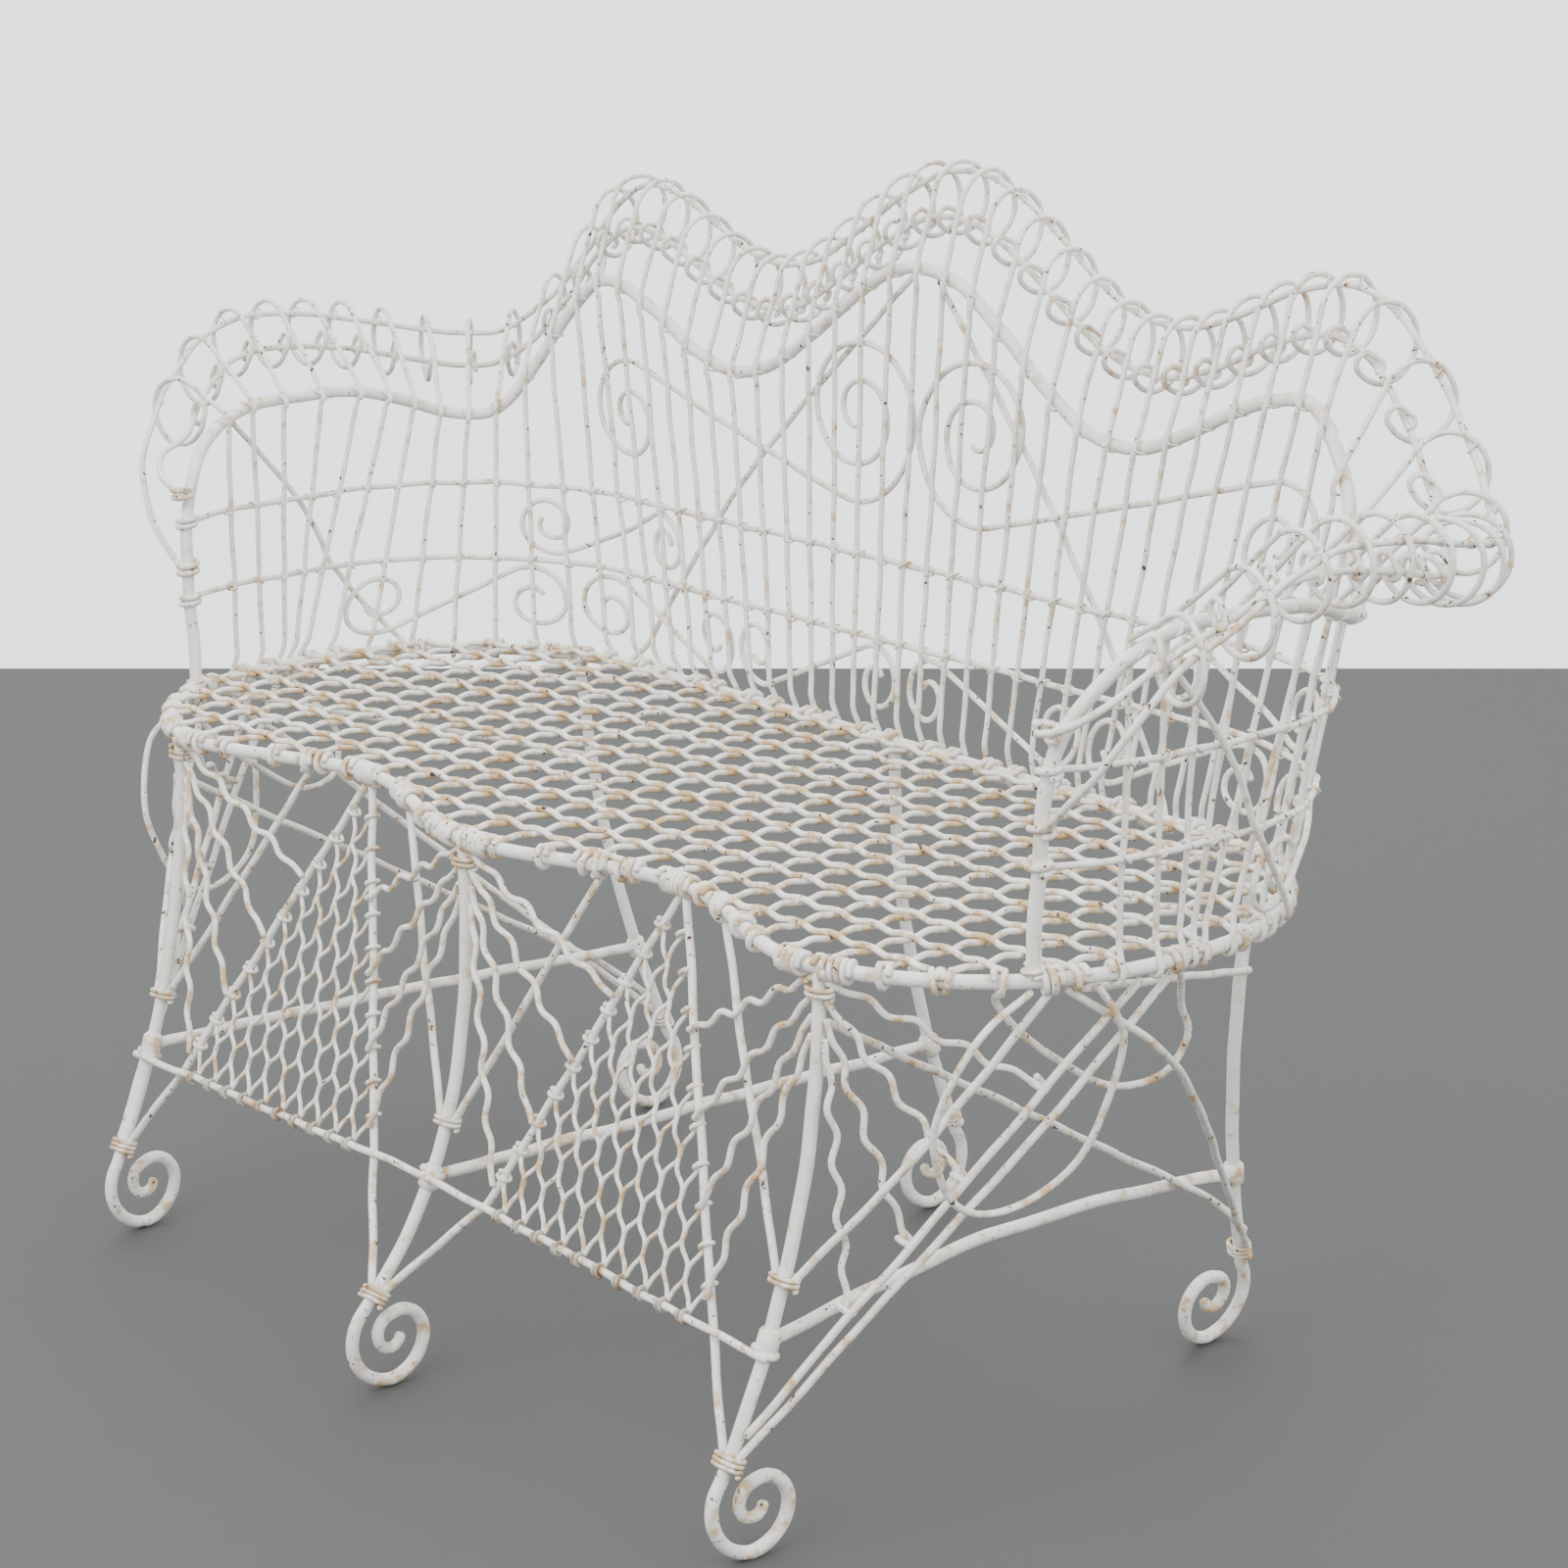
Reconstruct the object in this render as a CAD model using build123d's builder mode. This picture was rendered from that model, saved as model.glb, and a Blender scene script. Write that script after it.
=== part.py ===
from build123d import *
import math
import os

os.makedirs("parts", exist_ok=True)

# Garden settee of bent rod and wire. X runs along the seat, Y to the back, Z up, in millimetres.
# The frame is forge-welded heavy rod; lighter wire is woven, hooked and bound on to it.

# Wire and rod diameters
frame_rod = 12.0
stretcher_rod = 11.0
spindle_wire = 5.0
rail_wire = 5.5
scroll_wire = 5.5
roll_wire = 6.0
lattice_wire = 6.0
apron_edge_wire = 7.0
apron_mesh_wire = 4.0
fan_wire = 5.5
brace_wire = 6.0
binding_wire = 3.0

# Seat rim, in plan
seat_height = 430.0
seat_half_length = 560.0
seat_back = 232.2
rear_corner_radius = 215.0
front_corner_radius = 205.0
front_corner_y = -12.8
front_corner_turn = 78.0
front_leg_turn = 73.5
scallop_x = 200.0
scallop_y = -159.8
front_middle_y = -211.8
rim_joint_gap = 0.6

# Wall of the back and arms: how its plan changes with height. Stations on the back are counted from its
# middle, stations on the arms from the end of the straight back
wall_rise = 150.0
wall_half_growth = 8.0
wall_back_lean = 11.0
wall_corner_tightening = 45.0
wall_corner_least = 150.0
post_station = 465.0

# Crest rod: station on the back or the arm and height above the seat of each crown and dip
crest_crowns = [(0.0, 395.0), (222.0, 282.0), (395.0, 341.0)]
arm_crowns = [(147.0, 211.0), (307.0, 241.0)]
arm_bend_radius = 118.0

# Rails, spindles and the rolled edge above the crest, with heights above the seat
upper_rail_height = 150.0
lower_rail_height = 82.0
spindles_each_side = 26
last_spindle_station = 402.0
ring_radius = 30.0
ring_turn = 410.0
ring_close_turn = 250.0
ring_end_radius = 9.0
ring_steps = 9
ring_overhang = 10.0
spindle_clearance = 0.8
roll_reach_back = 98.0
roll_reach_arm = 111.0
roll_reach_end = 62.0
roll_lean_back = 27.0
roll_lean_arm = 52.0
roll_lean_end = 80.0
roll_corner_share = 0.55
roll_end_share = 1.2
roll_end_station = 436.0
roll_inner_drop = 18.0
roll_front_bulge = 14.0
outer_wire_end_height = 110.0
inner_wire_end_height = 177.0

# Scrolls: station, height above the seat, outer radius, inner radius and turns of each spiral. The outer
# frieze and rail scrolls have both stations on the arm, the middle frieze and crest scrolls only the first
frieze_outer_ends = [(217, 45, 30, 9, 1.3), (94, 45, 31, 9, 1.2)]
frieze_middle_ends = [(28, 45, 31, 9, 1.2), (273, 45, 31, 9, 1.2)]
frieze_inner_ends = [(207, 45, 31, 9, 1.2), (36, 45, 31, 9, 1.2)]
rail_scroll_ends = [(79, 116, 28, 8, 1.4), (-57, 116, 28, 9, 1.3)]
left_crest_scroll_ends = [(-21, 225, 50, 8, 1.5), (68, 268, 76, 9, 2.1)]
right_crest_scroll_ends = [(7, 231, 50, 8, 1.5), (74, 268, 76, 9, 2.1)]
scroll_link_step = 26.0
scroll_clearance = 0.4
back_stay_feet = {"left": 13.5, "right": 11.5}
arm_stay_spindles = (19.0, 25.5)
stay_foot_share = 0.03

# Woven seat
lattice_pitch = 38.0
lattice_inset_share = 0.85
lattice_end = 7.0
weave_clearance = 0.1

# Legs and feet
foot_scroll_radius = 37.0
foot_scroll_end_radius = 7.0
foot_wear = 0.5
foot_cut_side = 600.0
foot_close_turn = 170.0
foot_close_span = 300.0
ankle_turn = 38.0
front_leg_flare, front_leg_sweep = 85.0, 2.1
front_middle_leg_flare, front_middle_leg_sweep = 109.0, 3.2
rear_leg_flare, rear_leg_sweep = 58.0, 2.2
rear_middle_leg_flare, rear_middle_leg_sweep = 76.0, 2.0
front_leg_splay = -5.0
rear_leg_end_gap = 140.0
rear_leg_station = seat_half_length - rear_leg_end_gap
rear_leg_inset = 11.0
rear_leg_draw_in = 63.0
stretcher_front_height = 163.0
stretcher_rear_height = 152.0
stretcher_rise = {"left": 3.0, "middle": 0.0, "right": 20.0}
collar_wall = 3.0
collar_height = 16.0
collar_sides = 8
seating_gap = 0.2

# Front apron, fans and braces
apron_rail_height = 155.0
apron_rail_rise = 11.0
apron_rail_overhang = 9.0
apron_foot_inner = 76.0
apron_foot_end_gap = 208.0
apron_foot_outer = seat_half_length - apron_foot_end_gap
apron_divisions = 11
mesh_end_share = 1.0
apron_tie_height = 84.0
fan_wires = 4
fan_spacing = 14.0
fan_head_drop = 4.0
fan_first_share = 0.32
fan_last_share = 0.94
brace_leg_height = 205.0
brace_rim_inner = 125.0
brace_rim_outer = 268.0

# Side panels: stations on the rim under the arm, heights on the legs, and the hoops by depth and by drop
# below the seat
panel_heel_station = 352.0
panel_toe_station = 452.0
fan_stay_station = 383.0
rear_stay_station = 440.0
short_stay_station = 428.0
drop_hoop_stations = (466.0, 417.0)
wide_hoop_stations = (486.0, 334.0)
fan_stay_height = 100.0
short_stay_drop = 95.0
short_stay_height = seat_height - short_stay_drop
long_stay_drop = 42.0
long_stay_height = seat_height - long_stay_drop
stretcher_tie = 7
side_fan_shares = (0.76, 0.56, 0.42, 0.27)
side_fan_layer = -7.0
toe_brace_layer = 8.5
rear_stay_bend = (20.0, 100.0, -11.0)
drop_hoop_layer = 12.0
drop_hoop = [(-166, 31), (-186, 88), (-176, 130), (-156, 160), (-128, 172),
             (-94, 164), (-66, 142), (-53, 100), (-49, 54), (-58, 30)]
wide_hoop_layer = -20.0
wide_hoop = [(-137, 22), (-114, 49), (-74, 80), (-28, 107), (13, 105), (26, 76), (16, 51)]

# Bindings
binding_turns = 2.5
binding_pitch = 4.2
binding_steps = 7
brace_binding_drop = 18.0

# Section of the rods: how many flats each kind of wire has
heavy_sides = 6
medium_sides = 6
light_sides = 4

frame_r = frame_rod / 2
rim_top = seat_height + frame_r
rim_underside = seat_height - frame_r
spindle_inset = (frame_rod + spindle_wire) / 2 + spindle_clearance


def equal_area_radius(radius, sides):
    """Corner radius of a regular polygon that has the area of a circle."""
    return radius * math.sqrt(2 * math.pi / (sides * math.sin(2 * math.pi / sides)))


def section_planes(path):
    """A plane across the path at each of its points, turned as little as possible along the way."""
    points = [Vector(*p) for p in path]
    runs = [(b - a).normalized() for a, b in zip(points[:-1], points[1:])]
    headings = [runs[0]] + [(a + b).normalized() for a, b in zip(runs[:-1], runs[1:])] + [runs[-1]]
    across = Vector(0, 0, 1) if abs(runs[0].Z) < 0.9 else Vector(0, 1, 0)
    planes = []
    for point, heading in zip(points, headings):
        across = (across - heading * across.dot(heading)).normalized()
        planes.append(Plane(origin=point, x_dir=across, z_dir=heading))
    return planes


def rod(path, diameter, sides):
    """A bar of straight runs, mitred where the path bends."""
    corner = equal_area_radius(diameter / 2, sides)
    with BuildPart() as bar:
        for plane in section_planes(path):
            with BuildSketch(plane):
                RegularPolygon(corner, sides, rotation=180 / sides)
        loft(ruled=True)
    return bar.part


def save(name, piece):
    piece.label = name
    export_step(piece, f"parts/{name}.step")


def save_group(name, pieces):
    save(name, Compound(children=pieces))


def mirrored(path):
    return [(-x, y, z) for x, y, z in path]


def blend(a, b, k):
    return a + (b - a) * k


def eased(a, b, k):
    """From a to b with level ends."""
    return blend(a, b, (1 - math.cos(math.pi * min(max(k, 0.0), 1.0))) / 2)


def between(p, q, k):
    return tuple(blend(a, b, k) for a, b in zip(p, q))


# The wall: plan of the back, corner, arm and front bend at a height, and the outward direction there
def wall_plan(z):
    k = (z - seat_height) / wall_rise
    half = seat_half_length + wall_half_growth * min(k, 1.4)
    back = seat_back + wall_back_lean * k
    corner = max(wall_corner_least, rear_corner_radius - wall_corner_tightening * k)
    return half, back, corner


def wall_lengths():
    half, back, corner = wall_plan(seat_height + upper_rail_height)
    return half - corner, corner * math.pi / 2, back - corner - front_corner_y


def wall(station, z, out=0.0):
    """Point of the wall at a station from its middle, moved outward, with the outward direction."""
    side = math.copysign(1.0, station)
    run = abs(station)
    back_run, corner_run, arm_run = wall_lengths()
    half, back, corner = wall_plan(z)
    if run <= back_run:
        x, y, turn = (half - corner) * run / back_run, back, 0.0
    elif run <= back_run + corner_run:
        turn = math.pi / 2 * (run - back_run) / corner_run
        x, y = half - corner + corner * math.sin(turn), back - corner + corner * math.cos(turn)
    elif run <= back_run + corner_run + arm_run:
        k = (run - back_run - corner_run) / arm_run
        x, y, turn = half, blend(back - corner, front_corner_y, k), math.pi / 2
    else:
        bend = (run - back_run - corner_run - arm_run) / front_corner_radius
        x = half - front_corner_radius * (1 - math.cos(bend))
        y = front_corner_y - front_corner_radius * math.sin(bend)
        turn = math.pi / 2 + bend
    outward = (side * math.sin(turn), math.cos(turn))
    return (side * x + out * outward[0], y + out * outward[1], z), outward


back_end = wall_lengths()[0]
post_run = back_end + post_station
crest_stops = [(run, seat_height + rise) for run, rise in crest_crowns]
crest_stops += [(back_end + run, seat_height + rise) for run, rise in arm_crowns]
arm_top = crest_stops[-1][1]


def crest_height(station):
    run = abs(station)
    for (start, high), (end, low) in zip(crest_stops[:-1], crest_stops[1:]):
        if run <= end:
            return eased(high, low, (run - start) / (end - start))
    reach = min(max(run - (post_run - arm_bend_radius), 0.0) / arm_bend_radius, 1.0)
    return arm_top - arm_bend_radius * (1 - math.sqrt(1 - reach * reach))


def on_spindles(station, z, out=0.0):
    """Point beside the straight part of a spindle, which stands on the rim and passes inside the crest."""
    top = crest_height(station)
    foot, outward = wall(station, rim_top)
    head, _ = wall(station, top, -spindle_inset)
    x, y, _ = between(foot, head, (z - rim_top) / (top - rim_top))
    return (x + out * outward[0], y + out * outward[1], z)


rail_layer = (spindle_wire + rail_wire) / 2


# Seat rim
def front_corner(turn):
    """Plan of the rim's front corner after a turn in degrees."""
    bend = math.radians(turn)
    return (seat_half_length - front_corner_radius * (1 - math.cos(bend)),
            front_corner_y - front_corner_radius * math.sin(bend))


def rim_half():
    """Right half of the rim in plan, from the middle of the back to the middle of the front."""
    back_run, corner_run, arm_run = wall_lengths()
    ends = [back_run + corner_run * k / 8 for k in range(9)]
    plan = [wall(station, seat_height)[0] for station in [0.0] + ends + [back_run + corner_run + arm_run]]
    plan += [(*front_corner(front_corner_turn * k / 6), seat_height) for k in range(1, 7)]
    plan += [(blend(corner_end_x, scallop_x, k / 5), eased(corner_end_y, scallop_y, k / 5), seat_height)
             for k in range(1, 6)]
    plan += [(blend(scallop_x, 0, k / 5), eased(scallop_y, front_middle_y, k / 5), seat_height)
             for k in range(1, 6)]
    return plan


corner_end_x, corner_end_y = front_corner(front_corner_turn)
rim_right = rim_half()
rim_loop = rim_right[1:] + mirrored(rim_right[1:-1])[::-1]
rim_start = (rim_joint_gap / 2, seat_back, seat_height)
rim_path = [rim_start] + rim_loop + mirrored([rim_start])
save("seat_rim", rod(rim_path, frame_rod, heavy_sides))


# Woven seat: wires along and across, each passing over and under in turn, their ends lying on the rim
lattice_inset = frame_r * lattice_inset_share
lattice_level = seat_height + math.sqrt(frame_r ** 2 - lattice_inset ** 2) + lattice_wire / 2
lattice_flat = equal_area_radius(lattice_wire / 2, light_sides) * math.cos(math.pi / light_sides)
weave_rise = lattice_flat + weave_clearance


def inset_rim():
    """The rim's outline drawn in to where the woven wires end."""
    loop = rim_right + mirrored(rim_right[1:-1])[::-1]
    inner = []
    for before, here, after in zip(loop[-1:] + loop[:-1], loop, loop[1:] + loop[:1]):
        along = (after[0] - before[0], after[1] - before[1])
        size = math.hypot(*along)
        inner.append((here[0] + lattice_inset * along[1] / size, here[1] - lattice_inset * along[0] / size))
    return inner


def chords(outline, axis, place):
    """Where a straight wire at one place on an axis lies inside the outline, as pairs of ends."""
    ends = []
    for a, b in zip(outline, outline[1:] + outline[:1]):
        if (a[axis] - place) * (b[axis] - place) < 0:
            k = (place - a[axis]) / (b[axis] - a[axis])
            ends.append(blend(a[1 - axis], b[1 - axis], k))
    ends.sort()
    return list(zip(ends[0::2], ends[1::2]))


def woven_wires(axis):
    """Wires at each pitch along one axis, lifted or dropped where they cross the other set."""
    outline = inset_rim()
    shift, cross_shift = 0.5 * axis, 0.5 * (1 - axis)
    rows = math.ceil(seat_half_length / lattice_pitch)
    wires = []
    for row in range(-rows, rows + 1):
        place = (row + shift) * lattice_pitch
        for low, high in chords(outline, axis, place):
            first = math.ceil((low + lattice_end) / lattice_pitch - cross_shift)
            last = math.floor((high - lattice_end) / lattice_pitch - cross_shift)
            if last < first:
                continue
            before, after = [(column + cross_shift) * lattice_pitch for column in (first - 1, last + 1)]
            run = [(before + lattice_end if before > low else low, 0.0)]
            for column in range(first, last + 1):
                lift = weave_rise * (-1) ** (row + column + axis)
                run.append(((column + cross_shift) * lattice_pitch, lift))
            run.append((after - lattice_end if after < high else high, 0.0))
            wires.append([(place, t, lattice_level + lift) if axis == 0 else (t, place, lattice_level + lift)
                          for t, lift in run])
    return wires


save_group("seat_cross_wires", [rod(path, lattice_wire, light_sides) for path in woven_wires(0)])
save_group("seat_long_wires", [rod(path, lattice_wire, light_sides) for path in woven_wires(1)])


# Legs: a straight shank that sweeps outward and ends in a rolled foot
roll_step = (ankle_turn + 90.0) / 3.5
roll_steps = 14
frame_flat = equal_area_radius(frame_r, heavy_sides) * math.cos(math.pi / heavy_sides)
foot_middle = foot_scroll_radius * math.cos(math.radians(roll_step / 2)) + frame_flat - foot_wear
ankle_height = foot_middle + foot_scroll_radius * math.sin(math.radians(ankle_turn))


def leg_profile(flare, sweep):
    """Distance outward and height along a leg, from the rim to the inner end of its rolled foot."""
    drop = rim_underside - ankle_height
    shank = [(flare * (k / 8) ** sweep, rim_underside - drop * k / 8) for k in (0, 2, 3, 4, 5, 6, 7, 8)]
    middle = (flare - foot_scroll_radius * math.cos(math.radians(ankle_turn)), foot_middle)
    roll = []
    for step in range(1, roll_steps + 1):
        turn = roll_step * step
        radius = eased(foot_scroll_radius, foot_scroll_end_radius, (turn - foot_close_turn) / foot_close_span)
        angle = math.radians(ankle_turn - turn)
        roll.append((middle[0] + radius * math.cos(angle), middle[1] + radius * math.sin(angle)))
    return shank + roll


def leg_path(top, outward, flare, sweep, draw_in=0.0):
    """The profile set out from the leg's top, with an even draw-in of the whole leg towards the middle."""
    path = []
    for reach, z in leg_profile(flare, sweep):
        inward = math.copysign(draw_in * (rim_underside - z) / rim_underside, top[0])
        path.append((top[0] + outward[0] * reach - inward, top[1] + outward[1] * reach, z))
    return path


def shod(path):
    """A leg whose foot is worn flat where it stands."""
    with BuildPart() as leg:
        add(rod(path, frame_rod, heavy_sides))
        with BuildSketch(Plane.XY):
            with Locations((path[0][0], path[0][1])):
                Rectangle(foot_cut_side, foot_cut_side)
        extrude(amount=-foot_scroll_radius, mode=Mode.SUBTRACT)
    return leg.part


splay = (math.sin(math.radians(front_leg_splay)), -math.cos(math.radians(front_leg_splay)))
rear_top = (rear_leg_station, seat_back - rear_leg_inset)
leg_paths = {
    "front_middle_leg": leg_path((0, front_middle_y), (0, -1), front_middle_leg_flare,
                                 front_middle_leg_sweep),
    "front_right_leg": leg_path(front_corner(front_leg_turn), splay, front_leg_flare, front_leg_sweep),
    "rear_middle_leg": leg_path((0, seat_back), (0, 1), rear_middle_leg_flare, rear_middle_leg_sweep),
    "rear_right_leg": leg_path(rear_top, (0, 1), rear_leg_flare, rear_leg_sweep, rear_leg_draw_in),
}
leg_paths["front_left_leg"] = mirrored(leg_paths["front_right_leg"])
leg_paths["rear_left_leg"] = mirrored(leg_paths["rear_right_leg"])
for leg_name, leg_line in leg_paths.items():
    save(leg_name, shod(leg_line))


def at_height(path, z):
    """Point of a leg's shank at a height."""
    for p, q in zip(path[:-1], path[1:]):
        if q[2] <= z <= p[2]:
            return between(p, q, (p[2] - z) / (p[2] - q[2]))
    return path[0]


# Stretchers: rods from front to rear, each end flattened into a collar round its leg
def stretcher_line(front_leg, rear_leg, rise):
    front = Vector(*at_height(front_leg, stretcher_front_height))
    rear = Vector(*at_height(rear_leg, stretcher_rear_height))
    seat = (rear - front).normalized() * (frame_r + collar_wall / 2 + seating_gap)
    first, last = front + seat, rear - seat
    shares = [k / 8 for k in range(9)]
    return [first + (last - first) * k + Vector(0, 0, rise * math.sin(math.pi * k)) for k in shares]


def stretcher(front_leg, rear_leg, rise):
    bore = (equal_area_radius(frame_r, heavy_sides) + seating_gap) / math.cos(math.pi / collar_sides)
    with BuildPart() as bar:
        add(rod([tuple(p) for p in stretcher_line(front_leg, rear_leg, rise)], stretcher_rod, medium_sides))
        for leg, height in ((front_leg, stretcher_front_height), (rear_leg, stretcher_rear_height)):
            low = Vector(*at_height(leg, height - collar_height / 2))
            high = Vector(*at_height(leg, height + collar_height / 2))
            seat = Plane(origin=low, x_dir=(1, 0, 0), z_dir=high - low)
            with BuildSketch(seat):
                RegularPolygon(bore + collar_wall, collar_sides)
            extrude(amount=collar_height)
            with BuildSketch(seat):
                RegularPolygon(bore, collar_sides)
            extrude(amount=collar_height, mode=Mode.SUBTRACT)
    return bar.part


for side, rise in stretcher_rise.items():
    save(f"{side}_stretcher", stretcher(leg_paths[f"front_{side}_leg"], leg_paths[f"rear_{side}_leg"], rise))


spindle_pitch = (back_end + last_spindle_station) / spindles_each_side
half_stations = [spindle_pitch * k for k in range(spindles_each_side + 1)]
spindle_stations = [-s for s in half_stations[:0:-1]] + half_stations


# Crest rod: one bar from post to post, over the arms and the three crowns of the back
def crest_half():
    path = [wall(post_run, rim_top)[0]]
    bend_station = post_run - arm_bend_radius
    spring = arm_top - arm_bend_radius
    for turn in [math.radians(15 * step) for step in range(7)]:
        path.append(wall(bend_station + arm_bend_radius * math.cos(turn),
                         spring + arm_bend_radius * math.sin(turn))[0])
    stations = [s for s in half_stations[::-1] if s < bend_station]
    return path + [wall(station, crest_height(station))[0] for station in stations]


crest_right = crest_half()
save("crest_rod", rod(mirrored(crest_right[:-1]) + crest_right[::-1], frame_rod, heavy_sides))


# Rails that the spindles are bound to
def post_at(z):
    """Station of the arm post, or of the bend above it, at a height."""
    rise = max(z - arm_top + arm_bend_radius, 0.0)
    return post_run - arm_bend_radius + math.sqrt(arm_bend_radius ** 2 - rise ** 2)


def rail(z):
    reach = post_at(z) - equal_area_radius(frame_r, heavy_sides) - seating_gap
    stations = [-reach] + spindle_stations + [reach]
    return rod([on_spindles(s, z, rail_layer) for s in stations], rail_wire, light_sides)


save("upper_rail", rail(seat_height + upper_rail_height))
save("lower_rail", rail(seat_height + lower_rail_height))


# Rolled edge: above the crest every spindle curls over into a ring round two long wires
ring_flat = ring_radius * math.cos(math.radians(ring_turn / ring_steps / 2))
under_ring = ring_flat - (spindle_wire + roll_wire) / 2 - seating_gap


def roll_frame(station):
    """Middle of the roll at a station, with its directions away from the crest and across."""
    run = abs(station)
    back_run, corner_run, arm_run = wall_lengths()
    into_arm = (run - back_run) / (roll_corner_share * corner_run)
    into_end = (run - post_run + arm_bend_radius * roll_end_share) / arm_bend_radius
    lean = math.radians(eased(eased(roll_lean_back, roll_lean_arm, into_arm), roll_lean_end, into_end))
    reach = eased(eased(roll_reach_back, roll_reach_arm, into_arm), roll_reach_end, into_end)
    crest, outward = wall(station, crest_height(station))
    normal = Vector(outward[0], outward[1], 0)
    away = normal * math.sin(lean) + Vector(0, 0, math.cos(lean))
    across = normal * math.cos(lean) - Vector(0, 0, math.sin(lean))
    middle = Vector(*crest) + away * (reach - under_ring) + across * ring_overhang
    return middle, away, across


def spindle_lift(station, lean):
    """How far a spindle rises past the middle of the crest before it leans out over it."""
    slope = crest_height(station + 1) - crest_height(station)
    clear = spindle_inset * math.hypot(1, slope * math.sin(lean))
    return max(clear - spindle_inset * math.cos(lean), 0.0) / math.sin(lean)


def spindle_path(station):
    """From the rim up past the crest, then over the outer wire and round into a hook."""
    foot = wall(station, rim_top)[0]
    middle, away, across = roll_frame(station)
    start = on_spindles(station, crest_height(station) + spindle_lift(station, math.acos(away.Z)))
    offset = middle - Vector(*start)
    side, rise = offset.dot(across), offset.dot(away)
    distance = math.hypot(side, rise)
    heading = math.atan2(rise, side) + math.asin(ring_radius / distance)
    path = [foot, start]
    for step in range(ring_steps + 1):
        turn = ring_turn * step / ring_steps
        radius = eased(ring_radius, ring_end_radius, (turn - ring_close_turn) / (ring_turn - ring_close_turn))
        angle = heading + math.pi / 2 - math.radians(turn)
        point = middle + across * (radius * math.cos(angle)) + away * (radius * math.sin(angle))
        path.append(tuple(point))
    return path


spindle_groups = {
    "left_arm_spindles": [s for s in spindle_stations if s < -back_end],
    "back_spindles": [s for s in spindle_stations if abs(s) <= back_end],
    "right_arm_spindles": [s for s in spindle_stations if s > back_end],
}
for group_name, stations in spindle_groups.items():
    save_group(group_name, [rod(spindle_path(s), spindle_wire, light_sides) for s in stations])


def roll_line(station, drop):
    middle, away, across = roll_frame(station)
    return tuple(middle + away * drop)


def roll_long_wire(drop, end_height):
    """A long wire of the roll, brought round in front of each arm and back to its post."""
    half = [roll_line(s, drop) for s in half_stations + [back_end + roll_end_station]]
    post, outward = wall(post_run, seat_height + end_height, (frame_rod + roll_wire) / 2 + seating_gap)
    last = half[-1]
    for k in (0.35, 0.7, 1.0):
        x, y, z = between(last, post, k)
        bulge = roll_front_bulge * math.sin(math.pi * k)
        half.append((x + bulge, y - bulge, z))
    return rod(mirrored(half[1:])[::-1] + half, roll_wire, light_sides)


save("roll_outer_wire", roll_long_wire(under_ring, outer_wire_end_height))
save("roll_inner_wire", roll_long_wire(-roll_inner_drop, inner_wire_end_height))


# Scrolls: two spirals joined by a straight, laid out on the wall by station and height
def spiral(middle, outer, inner, turns, start, hand, steps_per_turn=9):
    """Points of a spiral that starts on its outer radius at an angle and winds inward."""
    steps = max(2, round(turns * steps_per_turn))
    points = []
    for step in range(steps + 1):
        k = step / steps
        angle = start + hand * 2 * math.pi * turns * k
        radius = blend(outer, inner, k)
        points.append((middle[0] + radius * math.cos(angle), middle[1] + radius * math.sin(angle)))
    return points


def on_wall(end, start=0.0):
    """A spiral's end set out on the wall, its station counted from a start."""
    return (start + end[0], seat_height + end[1], *end[2:])


def s_scroll(first, second, hand):
    """Two spirals, each (station, height, outer radius, inner radius, turns), and the straight between."""
    dx, dz = second[0] - first[0], second[1] - first[1]
    distance = math.hypot(dx, dz)
    line = math.atan2(dz, dx)
    spread = math.acos((first[2] + second[2]) / distance)
    leave = line + hand * spread
    head = spiral(first[:2], first[2], first[3], first[4], leave, hand)
    tail = spiral(second[:2], second[2], second[3], second[4], leave + math.pi, hand)
    parts = math.ceil(math.dist(head[0], tail[0]) / scroll_link_step)
    link = [between(head[0], tail[0], k / parts) for k in range(1, parts)]
    return head[::-1] + link + tail


def behind_spindles(flat):
    return [on_spindles(s, z, rail_layer + scroll_clearance) for s, z in flat]


def save_scrolls(name, left, right):
    paths = [mirrored(behind_spindles(left)), behind_spindles(right)]
    save_group(name, [rod(path, scroll_wire, light_sides) for path in paths])


outer_frieze = s_scroll(*[on_wall(end, back_end) for end in frieze_outer_ends], 1)
middle_frieze = s_scroll(on_wall(frieze_middle_ends[0], back_end), on_wall(frieze_middle_ends[1]), -1)
inner_frieze = s_scroll(*[on_wall(end) for end in frieze_inner_ends], 1)
between_rails = s_scroll(*[on_wall(end, back_end) for end in rail_scroll_ends], 1)
left_crest, right_crest = [s_scroll(on_wall(far, back_end), on_wall(near), -1)
                           for far, near in (left_crest_scroll_ends, right_crest_scroll_ends)]
save_scrolls("outer_frieze_scrolls", outer_frieze, outer_frieze)
save_scrolls("middle_frieze_scrolls", middle_frieze, middle_frieze)
save_scrolls("inner_frieze_scrolls", inner_frieze, inner_frieze)
save_scrolls("rail_scrolls", between_rails, between_rails)
save_scrolls("crest_scrolls", left_crest, right_crest)


# Straight stays behind the scrolls, from the outer side of the rim up to the underside of the crest
stay_layer = rail_layer + rail_wire / 2 + equal_area_radius(scroll_wire / 2, light_sides) + scroll_clearance
stay_foot_layer = equal_area_radius(frame_r, heavy_sides) + scroll_wire / 2 + seating_gap


def stay(low_station, high_station):
    top = crest_height(high_station) - equal_area_radius(frame_r, heavy_sides) - scroll_wire / 2
    path = []
    for k in [0.0, stay_foot_share] + [step / 10 for step in range(1, 11)]:
        out = eased(stay_foot_layer, stay_layer, k / stay_foot_share)
        path.append(on_spindles(blend(low_station, high_station, k), blend(seat_height, top, k), out))
    return path


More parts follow.
